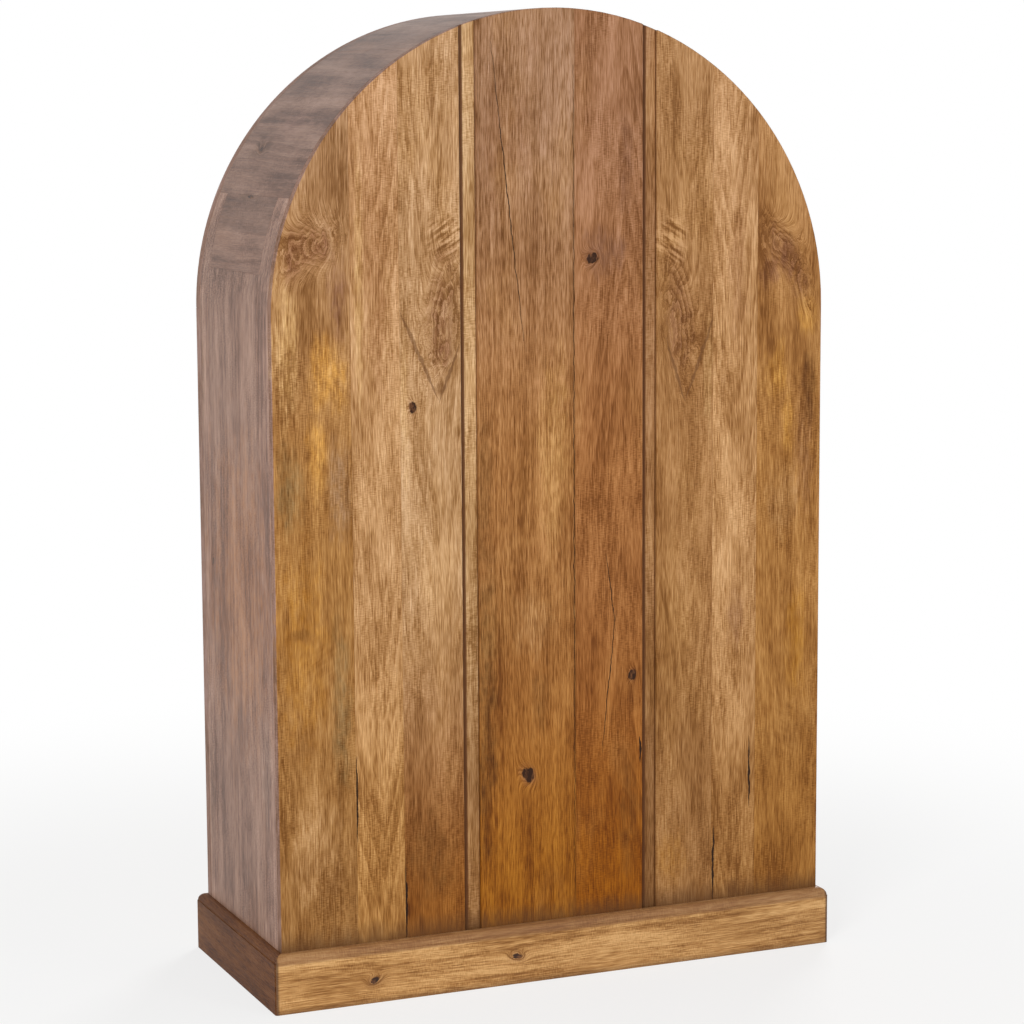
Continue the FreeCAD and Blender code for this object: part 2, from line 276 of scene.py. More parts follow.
def spread(value, low, high, to_low=0.0, to_high=1.0, smooth=False):
    """Maps low to to_low and high to to_high, and clips beyond."""
    links = {0: value, 1: low, 2: high, 3: to_low, 4: to_high}
    kind = "SMOOTHSTEP" if smooth else "LINEAR"
    return add_node(value.tree, "ShaderNodeMapRange", links, interpolation_type=kind)[0]


def blend(share, first, second):
    """A mix of two colours."""
    return add_node(share.tree, "ShaderNodeMix", {0: share, 6: first, 7: second}, data_type="RGBA")[2]


def node_group(name, inputs):
    """Turns the function below it into a node group with named sockets.

    The function is given its inputs as wires and returns its outputs. An input of None is a vector.
    """
    def build(draw):
        tree = bpy.data.node_groups.new(name, "ShaderNodeTree")
        for title, value in inputs.items():
            kind = {tuple: "Color", float: "Float"}.get(type(value), "Vector")
            socket = tree.interface.new_socket(title, in_out="INPUT", socket_type="NodeSocket" + kind)
            if value is not None:
                socket.default_value = (*value, 1.0) if kind == "Color" else value
        made = draw(add_node(tree, "NodeGroupInput"))
        for title, wire in made.items():
            kind = {"RGBA": "Color", "VECTOR": "Vector"}.get(wire.socket.type, "Float")
            tree.interface.new_socket(title, in_out="OUTPUT", socket_type="NodeSocket" + kind)
        add_node(tree, "NodeGroupOutput", made)
        return tree
    return build


def place(tree, group, links):
    return add_node(tree, "ShaderNodeGroup", links, node_tree=group)


def chain(tree, group, titles, rows, passed, same):
    """Places a group once for each row of values. What it changes is passed on to the next."""
    for row in rows:
        made = place(tree, group, {**same, **passed, **dict(zip(titles, row))})
        passed = {title: made[title] for title in passed}
    return passed


# Places on the body

# Which way each finish reads the body: across its boards, through them and along their grain
GRAIN_WAYS = {
    "upright": ("x", "past the back", "z"),
    "upright_mirrored": ("minus x", "past the back", "z"),
    "level": ("z", "past the back", "x"),
    "front_to_back": ("z", "past the side", "y"),
    "side": ("y", "past the side", "z"),
    "hood": ("round the arch", "past the hood", "y"),
    "arch": ("past the hood", "past the back", "round the arch"),
    "shelf": ("y", "z", "x"),
}


def make_grain_group(name, across, through, along):
    """Turns a point of the body so that X runs across a board, Y through it and Z along its grain."""
    @node_group("grain_" + name, {"Point": None})
    def grain(given):
        x, y, z = axes(given["Point"])
        rise = z - SPRING_HEIGHT
        ways = {
            "x": x, "y": y, "z": z,
            "minus x": x * -1.0,
            "past the back": abs(y) - BODY_HALF_DEPTH,
            "past the side": abs(x) - BODY_HALF_WIDTH,
            "past the hood": length(x, rise) - BODY_HALF_WIDTH,
            "round the arch": maths("ARCTAN2", rise, x) * BODY_HALF_WIDTH,
        }
        return {"Position": vector(ways[across], ways[through], ways[along])}

    return grain


grain_groups = {name: make_grain_group(name, *ways) for name, ways in GRAIN_WAYS.items()}


@node_group("body_places", {"Point": None})
def body_places(given):
    """How far a point lies out from the middle, with the arch counted round its centre."""
    x, y, z = axes(given["Point"])
    return {"Reach": length(x, larger(z - SPRING_HEIGHT, 0.0)), "Across": abs(x), "Height": z,
            "Front": spread(y, FRONT_FACE + 0.0004, FRONT_FACE + 0.0010, 1.0, 0.0)}


def object_point(tree):
    return add_node(tree, "ShaderNodeTexCoord")["Object"]


def grain_position(tree, grain):
    return place(tree, grain_groups[grain], {"Point": object_point(tree)})["Position"]


# Wood

# The layers of the figure: noise to the metre across and along, its shift, detail and roughness
FIGURE = {
    "sway": (3.0, 0.9, 3.1, 2.0, 0.5),
    "swell": (2.0, 1.3, 17.7, 2.0, 0.5),
    "waver": (30.0, 4.0, 5.3, 3.0, 0.5),
    "showing": (11.0, 1.5, 23.0, 1.0, 0.5),
    "streak": (80.0, 1.5, 9.1, 4.0, 0.62),
    "thread": (340.0, 4.5, 13.7, 3.0, 0.65),
    "fibre": (680.0, 34.0, 19.3, 1.0, 0.5),
    "cloud": (17.0, 2.1, 61.0, 2.0, 0.5),
    "smudge": (24.0, 7.0, 71.0, 4.0, 0.62),
    "lit": (8.0, 5.0, 37.0, 2.0, 0.5),
    "ray": (110.0, 560.0, 31.0, 1.0, 0.5),
    "rippled": (4.5, 2.2, 29.0, 1.0, 0.5),
    "pores": (560.0, 42.0, 41.0, 1.0, 0.5),
    "stain": (6.0, 2.2, 53.0, 4.0, 0.6),
}
YEARS_TO_THE_METRE = 52.0
BANDS_TO_THE_METRE = 22.0
RIPPLES_TO_THE_METRE = 95.0

# How far apart in the trunk two boards are cut, across and along
BOARDS_APART = (3.7, 9.1)


@node_group("waxed_wood", {
    "Position": None, "Seed": 0.0, "Board": 0.0,
    "Pith Across": 0.0, "Pith Depth": 0.02, "Taper": 0.02, "Lift": 0.0, "Halo": 0.0,
    "Wood": (0.4, 0.2, 0.08), "Other Wood": (0.4, 0.2, 0.08), "Dark": 0.45, "Light": 1.55,
    "Stain": GOLD, "Stain Amount": 0.3,
    "Band Amount": 1.1, "Ring Amount": 0.25, "Streak Amount": 0.75, "Thread Amount": 1.4,
    "Fibre Amount": 0.6, "Cloud Amount": 0.9, "Smudge Amount": 0.2, "Ray Amount": 1.2,
    "Ripple Amount": 0.3, "Ripple Here": 0.0, "Pore Amount": 0.25, "Gloss": 0.45,
    "Red Power": 0.92, "Green Power": 1.22, "Blue Power": 1.75,
})
def waxed_wood(given):
    """Growth rings round a pith line, with streaks, fibres, rays, ripple, pores and stains."""
    seed, board = given["Seed"], given["Board"]
    across, through, along = axes(given["Position"])
    across = across + board * BOARDS_APART[0]
    along = along + board * BOARDS_APART[1]

    def drawn(layer, line=across):
        over, up, shift, detail, roughness = FIGURE[layer]
        return noise(vector(line * over + shift, through * over, along * up + seed), detail, roughness)

    # The trunk tapers, so the rings come up on the face as long points, and its pith line wanders
    sway = drawn("sway") - 0.5
    swell = drawn("swell") - 0.5
    side = across - (board * BOARDS_APART[0] + given["Pith Across"]) + sway * 0.08
    depth = given["Pith Depth"] + through + swell * 0.05
    ring = length(side, depth) + given["Lift"] + along * given["Taper"]
    ring = ring + (drawn("waver") - 0.5) * 0.012
    bands = noise(vector(ring * BANDS_TO_THE_METRE + seed, across * 3.0, along * 0.5), 3.0, 0.55)

    # Each year's growth darkens slowly and ends on a sharp line
    year = maths("FRACT", ring * YEARS_TO_THE_METRE + swell * 4.0)
    line = spread(year, 0.0, 0.85) * spread(year, 0.92, 1.0, 1.0, 0.0)
    shown = spread(drawn("showing"), 0.40, 0.62, 0.25, 1.0, smooth=True) * given["Ring Amount"]
    line = (0.35 - line) * (given["Halo"] * 0.75 + shown)

    # Fibres bend round the knots with the rings
    bent = given["Lift"] * 0.9 + across + sway * 0.05
    streak, thread = drawn("streak", bent), drawn("thread", bent)
    fibre = spread(drawn("fibre", bent), 0.34, 0.66)

    # Slow changes of tone up the board, a little slanted, and smudges of old polish
    cloud = drawn("cloud", along * 0.06 + bent)
    smudge = spread(drawn("smudge", bent), 0.39, 0.61, 1.0, -1.0)

    # Rays: short flecks across the grain, where the cut runs along them
    ray = (drawn("ray") - 0.5) * spread(drawn("lit"), 0.40, 0.60, smooth=True)

    # Ripple: short waves across the grain
    crest = noise(vector(across * 26.0 + sway * 9.0, seed, along * RIPPLES_TO_THE_METRE + across * 60.0))
    rippled = spread(drawn("rippled"), 0.5, 0.68, smooth=True) * given["Ripple Amount"] + given["Ripple Here"]

    # Pores: short dark flecks, thicker in some rings than in others
    dense = bands * -0.25 + 0.69
    pores = spread(drawn("pores", bent), dense, dense + 0.1) * given["Pore Amount"]

    tone = line + 0.5
    for layer, title in ((bands, "Band"), (streak, "Streak"), (thread, "Thread"), (fibre, "Fibre"),
                         (cloud, "Cloud")):
        tone = tone + (layer - 0.5) * given[title + " Amount"]
    tone = tone + smudge * given["Smudge Amount"] + ray * given["Ray Amount"]
    tone = tone + (crest - 0.5) * rippled * 2.2
    shade = spread(tone, -0.1, 1.1, given["Dark"], given["Light"]) * spread(pores, 0.0, 1.0, 1.0, 0.45)

    # Stains of old wax, soft and patchy
    stained = spread(drawn("stain"), 0.5, 0.72, smooth=True) * given["Stain Amount"]
    wood = blend(board, given["Wood"], given["Other Wood"])
    parts = add_node(seed.tree, "ShaderNodeSeparateColor", {0: blend(stained, wood, given["Stain"])})
    shaded = {title: parts[title] * shade ** given[title + " Power"] for title in ("Red", "Green", "Blue")}
    return {"Color": add_node(seed.tree, "ShaderNodeCombineColor", shaded)[0],
            "Roughness": thread * 0.16 + given["Gloss"] + pores * 0.2,
            "Height": fibre * 0.25 + thread * 0.5 - pores * 0.8}


@node_group("ragged_edges", {"Position": None})
def ragged_edges(given):
    """Two noises that a board's knots and patches share: broad and ragged, and fine and curled."""
    across, _, along = axes(given["Position"])
    return {"Broad": noise(vector(across * 42.0, 0.0, along * 17.0), 4.0, 0.6),
            "Fine": noise(vector(across * 95.0 + 7.0, 0.0, along * 40.0), 4.0, 0.65)}


@node_group("tones_up_the_board", {"Position": None, "Foot": GOLD, "Middle": GOLD, "Head": GOLD})
def tones_up_the_board(given):
    """Three tones of a board, from its foot to its head. A paler, greyer head is partly painted sheen."""
    _, _, along = axes(given["Position"])
    lower = blend(spread(along, 0.15, 0.85, smooth=True), given["Foot"], given["Middle"])
    return {"Color": blend(spread(along, 0.9, 1.65, smooth=True), lower, given["Head"])}


@node_group("knot", {
    "Position": None, "Broad": 0.5, "Fine": 0.5, "Lift": 0.0, "Wood": GOLD, "Heart": 0.0, "Halo": 0.0,
    "Across": 0.0, "Along": 0.0, "Width": 0.02, "Length": 0.05, "Slant": 0.0, "Strength": 0.03,
    "Heart Size": 0.15, "Redness": 0.7,
})
def knot(given):
    """A knot: it lifts the rings into ragged loops, reddens the wood and may have a dark heart."""
    across, _, along = axes(given["Position"])
    wander, curl = given["Broad"] - 0.5, given["Fine"] - 0.5
    up = along - given["Along"]
    side = (up * given["Slant"] + (across - given["Across"])) / given["Width"]
    far = length(wander * 1.6 + side, wander * -1.2 + up / given["Length"])
    bell = maths("EXPONENT", far * far * -1.0)
    size = given["Heart Size"]
    heart = spread(curl * 0.9 + far, size * 0.85, size * 1.1, 1.0, 0.0, smooth=True)
    red = spread(bell, 0.1, 0.75) * spread(given["Fine"], 0.38, 0.56, 0.2, 1.0) * given["Redness"]
    return {"Lift": (curl * 0.5 + 1.0) * (bell * given["Strength"]) + given["Lift"],
            "Wood": blend(red, given["Wood"], RUSSET),
            "Heart": larger(heart, given["Heart"]), "Halo": larger(bell, given["Halo"])}


@node_group("knot_hearts", {"Color": GOLD, "Heart": 0.0, "Fine": 0.5})
def knot_hearts(given):
    """The knots' hearts, near black with brown in them."""
    core = blend(spread(given["Fine"], 0.50, 0.66), KNOT_DARK, KNOT_BROWN)
    return {"Color": blend(given["Heart"], given["Color"], core)}


@node_group("split", {
    "Position": None, "Color": GOLD, "Height": 0.5,
    "Across": 0.0, "Foot": 0.0, "Head": 0.1, "Lean": 0.0, "Width": 0.002,
    "Dark": SPLIT_DARK, "Amount": 1.0, "Sink": 2.0,
})
def split(given):
    """A dark line between two points of a face, open in the middle and closed at its ends."""
    across, _, along = axes(given["Position"])
    share = spread(along, given["Foot"], given["Head"])
    wobble = (noise(vector(given["Foot"], 0.0, along * 38.0), 4.0) - 0.5) * 0.008
    away = abs(across - (share * given["Lean"] + given["Across"] + wobble))
    thick = spread(noise(vector(given["Across"], 4.0, along * 70.0), 3.0), 0.3, 0.65, 0.3, 1.0)
    half = given["Width"] * maths("SINE", share * math.pi) * thick
    crack = spread(away, half * 0.5, half + 0.0004, 1.0, 0.0, smooth=True)
    crack = crack * above(share, 0.001) * below(share, 0.999) * given["Amount"]
    return {"Color": blend(crack, given["Color"], given["Dark"]),
            "Height": given["Height"] - crack * given["Sink"]}


@node_group("patch", {
    "Position": None, "Broad": 0.5, "Fine": 0.5, "Color": GOLD, "Tone": GOLD,
    "Across": 0.0, "Along": 0.0, "Width": 0.05, "Length": 0.15, "Amount": 1.0,
})
def patch(given):
    """A patch of another tone on a face, ragged at its edge and streaked along the grain."""
    across, _, along = axes(given["Position"])
    far = length((across - given["Across"]) / given["Width"], (along - given["Along"]) / given["Length"])
    far = (given["Broad"] - 0.5) * 2.6 + far
    mask = spread(far, 0.35, 1.5, 1.0, 0.0, smooth=True) * given["Amount"]
    streaked = mask * spread(given["Fine"], 0.36, 0.62, 0.4, 1.0)
    return {"Color": blend(streaked, given["Color"], given["Tone"]), "Mask": mask}


@node_group("joint_and_shadow_line", {"Position": None, "Fine": 0.5, "Color": GOLD, "Across": 0.0, "Half Width": 0.003})
def joint_and_shadow_line(given):
    """A dark line up a board at a strip's edge: where it is wide, a painted shadow cast into the recessed
    strip by the board beside it; where it is thin, a dark joint.
    """
    across, _, _ = axes(given["Position"])
    away = (given["Fine"] - 0.5) * 0.002 + abs(across - given["Across"])
    mask = spread(away, given["Half Width"] * 0.6, given["Half Width"], 0.95, 0.0)
    return {"Color": blend(mask, given["Color"], JOINT_AND_SHADOW_BROWN)}


@node_group("darker_foot", {"Position": None, "Broad": 0.5, "Color": GOLD})
def darker_foot(given):
    """Darker where the back boards meet the plinth, fading up the boards."""
    _, _, along = axes(given["Position"])
    low = (given["Broad"] - 0.5) * 0.05 + along
    mask = spread(low, PLINTH_HEIGHT + 0.002, PLINTH_HEIGHT + 0.040, 0.75, 0.0)
    return {"Color": blend(mask, given["Color"], DEEP_BROWN)}


@node_group("outer_edge", {"Reach": 0.0, "Color": GOLD})
def outer_edge(given):
    """The outer edge of the body, in the sides' greyish mauve, which is partly painted reflection."""
    mask = spread(given["Reach"], BODY_HALF_WIDTH - 0.0012, BODY_HALF_WIDTH - 0.0004)
    return {"Color": blend(mask, given["Color"], MAUVE)}


@node_group("plinth_tones", {"Position": None, "Fine": 0.5, "Color": GOLD})
def plinth_tones(given):
    """The plinth's long boards are brown on the moulding, darker near the floor, and dark at their rounded
    ends with painted shade.
    """
    up, _, along = axes(given["Position"])
    up = (given["Fine"] - 0.5) * 0.004 + up
    moulding = spread(up, MOULDING_FOOT - 0.002, MOULDING_FOOT + 0.002, 0.0, 0.6)
    colour = blend(moulding, given["Color"], MOULDING_BROWN)
    colour = blend(spread(up, 0.012, 0.002, 0.0, 0.5), colour, DEEP_BROWN)
    # Painted shade on the rounded corners at the boards' ends
    corner_shade = spread(abs(along), PLINTH_HALF_LENGTH - 0.008, PLINTH_HALF_LENGTH - 0.004, 0.0, 0.85)
    return {"Color": blend(corner_shade, colour, CORNER_SHADE_DARK)}


@node_group("incised_pair", {"Value": 0.0, "Middle": 0.0, "Apart": 0.01, "Groove": 0.0})
def incised_pair(given):
    """A pair of cut lines, one on each side of a row of studs."""
    away = abs(abs(given["Value"] - given["Middle"]) - given["Apart"])
    return {"Groove": larger(spread(away, 0.0004, 0.0010, 1.0, 0.0, smooth=True), given["Groove"])}


@node_group("strapwork", {"Point": None, "Reach": 0.0, "Row Foot": 0.0, "Row Head": 1.0})
def strapwork(given):
    """Grooves that run beside the carved stars and round the field, on the panel's own lattice."""
    x, y, z = axes(given["Point"])

    def from_cell_middle(value, start):
        return abs(maths("FRACT", (value - start) / CELL) - 0.5) * CELL

    def line_at(value, where, half):
        return spread(abs(value - where), half * 0.4, half, 1.0, 0.0, smooth=True)

    u = from_cell_middle(abs(x), FIELD_EDGE + CARVED_BORDER)
    v = from_cell_middle(z, given["Row Foot"] + CARVED_BORDER)
    star = smaller(larger(u, v), (u + v) * math.sqrt(0.5))
    beside = star - STAR_RADIUS * math.sqrt(0.5)
    margin = FIELD_RADIUS - given["Reach"]
    for edge in (abs(x) - FIELD_EDGE, z - given["Row Foot"], given["Row Head"] - z):
        margin = smaller(margin, edge)
    lines = larger(line_at(beside, 0.0028, 0.0009), line_at(beside, 0.0062, 0.0009))
    cut = larger(lines * above(margin, CARVED_BORDER), line_at(margin, 0.0055, 0.0011))
    hollow = spread(y, PANEL_FRONT + 0.0004, POCKET_FLOOR - 0.0004)
    return {"Groove": cut * below(y, PANEL_FRONT + 0.0006),
            "Hollow": hollow * below(y, POCKET_FLOOR + 0.0010)}


@node_group("cut_wood", {"Color": GOLD, "Roughness": 0.5, "Height": 0.5, "Groove": 0.0, "Hollow": 0.0})
def cut_wood(given):
    """Darkens what the chisel has cut: the cut lines, and a little less the hollows."""
    deep = larger(given["Groove"], given["Hollow"] * 0.75)
    return {"Color": blend(deep * 0.78, given["Color"], HOLLOW_BROWN),
            "Roughness": deep * 0.2 + given["Roughness"], "Height": given["Height"] - given["Groove"] * 1.8}


@node_group("patina", {
    "Point": None, "Bright": GOLD, "Tarnish": UMBER, "Tarnish Amount": 0.6, "Polish": 0.3})
def patina(given):
    """An old surface: cloudy tarnish and small pits."""
    def at(scale, *kind):
        scaled = add_node(given["Point"].tree, "ShaderNodeVectorMath",
                          {0: given["Point"], "Scale": scale}, operation="SCALE")
        return noise(scaled[0], *kind)

    cloud, pitted = at(90.0, 4.0, 0.6), spread(at(900.0), 0.62, 0.7)
    dull = spread(cloud, 0.38, 0.66, smooth=True) * given["Tarnish Amount"]
    dull = larger(dull, pitted * 0.5)
    return {"Color": blend(dull, given["Bright"], given["Tarnish"]),
            "Roughness": dull * 0.35 + given["Polish"], "Height": cloud * 0.6 - pitted}


# Finishes

# What the rows of values below stand for
GROWTH_ROW = ("Seed", "Pith Across", "Pith Depth", "Taper")
PATCH_ROW = ("Across", "Along", "Width", "Length", "Amount", "Tone")
KNOT_ROW = ("Across", "Along", "Width", "Length", "Slant", "Strength", "Heart Size")
SPLIT_ROW = ("Across", "Foot", "Head", "Lean", "Width")
JOINT_AND_SHADOW_ROW = ("Across", "Half Width")
LINE_ROW = ("Value", "Middle", "Apart")


def new_material(name):
    material = bpy.data.materials.new(name)
    material.use_nodes = True
    material.node_tree.nodes.clear()
    return material, material.node_tree


def close_material(tree, made, depth, **constants):
    """The shader and its bump. The constants are set on the shader's own sockets."""
    bump = add_node(tree, "ShaderNodeBump", {"Height": made["Height"], "Distance": depth, "Strength": 1.0})
    shader = add_node(tree, "ShaderNodeBsdfPrincipled", {
        "Base Color": made["Color"], "Roughness": made["Roughness"], "Normal": bump[0],
        **{name.replace("_", " "): value for name, value in constants.items()}})
    add_node(tree, "ShaderNodeOutputMaterial", {"Surface": shader[0]})


def board_value(tree):
    return add_node(tree, "ShaderNodeAttribute", attribute_name="board")["Fac"]


def tint(tree, made, group, **links):
    """Changes the colour of what has been made so far."""
    made["Color"] = place(tree, group, {"Color": made["Color"], **links})["Color"]


def knotted_wood(tree, grain, wood, patches=(), knots=(), ripples=(), redness=0.7, **figure):
    """Wood with its patches, knots and ripples, and the surface that it lies on."""
    position = grain_position(tree, grain)
    edges = place(tree, ragged_edges, {"Position": position})
    surface = {"Position": position, "Broad": edges["Broad"], "Fine": edges["Fine"]}
    wood = chain(tree, patch, PATCH_ROW, patches, {"Color": wood}, surface)["Color"]
    knotty = chain(tree, knot, KNOT_ROW, knots, {"Lift": 0.0, "Wood": wood, "Heart": 0.0, "Halo": 0.0},
                   {**surface, "Redness": redness})
    heart = knotty.pop("Heart")
    for row in ripples:
        figure["Ripple Here"] = place(tree, patch, {**surface, **dict(zip(PATCH_ROW, row))})["Mask"]
    made = place(tree, waxed_wood, {"Position": position, **knotty, **figure})
    tint(tree, made, knot_hearts, Heart=heart, Fine=edges["Fine"])
    return made, surface


def add_splits(tree, made, surface, splits, **kind):
    """Draws splits or veins over what has been made so far."""
    made.update(chain(tree, split, SPLIT_ROW, splits, {"Color": made["Color"], "Height": made["Height"]},
                      {"Position": surface["Position"], **kind}))


def back_board_material(name, tones, growth, grain="upright", patches=(), knots=(), ripples=(), veins=(),
                        splits=(), grooves=(), **figure):
    """A back board: its tones, patches and knots, then its veins, splits, dark joint lines with painted
    shadow beside them, and a darker foot.
    """
    material, tree = new_material(name)
    made = place(tree, tones_up_the_board, {
        "Position": grain_position(tree, grain), **dict(zip(("Foot", "Middle", "Head"), tones))})
    tint(tree, made, outer_edge, Reach=place(tree, body_places, {"Point": object_point(tree)})["Reach"])
    made, surface = knotted_wood(tree, grain, made["Color"], patches, knots, ripples,
                                 **dict(zip(GROWTH_ROW, growth)), **figure)
    add_splits(tree, made, surface, veins, Dark=VEIN_BROWN, Amount=0.6, Sink=0.0)
    add_splits(tree, made, surface, splits)
    made.update(chain(tree, joint_and_shadow_line, JOINT_AND_SHADOW_ROW, grooves, {"Color": made["Color"]},
                      {"Position": surface["Position"], "Fine": surface["Fine"]}))
    tint(tree, made, darker_foot, Position=surface["Position"], Broad=surface["Broad"])
    close_material(tree, made, 0.0006, Specular_IOR_Level=0.12)
    return material


def side_material(name, grain, tones, patches, knots, splits=(), **figure):
    """The sides and the hood: brown wood, streaked and smoky, whose greyish tone is partly painted reflection
    of the pale room.
    """
    material, tree = new_material(name)
    wood = blend(board_value(tree), *tones)
    made, surface = knotted_wood(tree, grain, wood, patches, knots, redness=0.3, **figure)
    add_splits(tree, made, surface, splits)
    close_material(tree, made, 0.0005, Specular_IOR_Level=0.2)
    return material


def plinth_long_material(name, seed, knots):
    """The plinth's long boards, pale and knotted."""
    material, tree = new_material(name)
    made, surface = knotted_wood(tree, "level", PLINTH_GOLD, knots=knots, redness=0.5, **{
        "Seed": seed, "Pith Across": -0.05, "Streak Amount": 1.3, "Ripple Amount": 0.1})
    tint(tree, made, plinth_tones, Position=surface["Position"], Fine=surface["Fine"])
    close_material(tree, made, 0.0006, Specular_IOR_Level=0.3)
    return material


def plain_material(name, grain, tones, specular=0.4, **figure):
    """Boards of one finish. Each board's own number shifts its figure and its tone."""
    material, tree = new_material(name)
    made = place(tree, waxed_wood, {
        "Position": grain_position(tree, grain), "Board": board_value(tree), "Wood": tones[0],
        "Other Wood": tones[1], **figure})
    close_material(tree, made, 0.0006, Specular_IOR_Level=specular)
    return material


def cut_material(tree, made, depth, **cuts):
    """Closes a material of the front, once its grooves and hollows are cut."""
    parts = {title: made[title] for title in ("Color", "Roughness", "Height")}
    close_material(tree, place(tree, cut_wood, {**parts, **cuts}), depth, Specular_IOR_Level=0.25)


def framed_material(name, grain, seed, lines):
    """The front's frames, with cut lines beside the rows of studs and the sides' greyish mauve on the edge,
    partly painted reflection.
    """
    material, tree = new_material(name)
    places = place(tree, body_places, {"Point": object_point(tree)})
    woods = {title: place(tree, outer_edge, {"Reach": places["Reach"], "Color": tone})["Color"]
             for title, tone in (("Wood", FRONT_BROWN), ("Other Wood", FRONT_PALE))}
    made = place(tree, waxed_wood, {
        "Position": grain_position(tree, grain), "Board": board_value(tree), **woods, "Seed": seed,
        "Stain": RUSSET, "Ray Amount": 0.4})
    rows = [(places[title], middle, apart) for title, middle, apart in lines]
    cut = chain(tree, incised_pair, LINE_ROW, rows, {"Groove": 0.0}, {})["Groove"]
    cut_material(tree, made, 0.0006, Groove=cut * places["Front"])
    return material


def carved_material(name, field):
    """Carved panels, with the hollows and cut lines of their own field."""
    material, tree = new_material(name)
    made = place(tree, waxed_wood, {
        "Position": grain_position(tree, "upright"), "Seed": 17.0, "Wood": FRONT_BROWN, "Stain": RUSSET,
        "Pith Across": 0.7, "Ray Amount": 0.4})
    point = object_point(tree)
    carved = place(tree, strapwork, {
        "Point": point, "Reach": place(tree, body_places, {"Point": point})["Reach"],
        "Row Foot": field[0], "Row Head": field[1]})
    cut_material(tree, made, 0.0007, Groove=carved["Groove"], Hollow=carved["Hollow"])
    return material


def worn_material(name, bright, tarnish, amount, polish, **constants):
    """Metal and moulded fittings, dulled by handling."""
    material, tree = new_material(name)
    made = place(tree, patina, {
        "Point": object_point(tree), "Bright": bright, "Tarnish": tarnish, "Tarnish Amount": amount,
        "Polish": polish})
    close_material(tree, made, 0.0002, **constants)
    return material
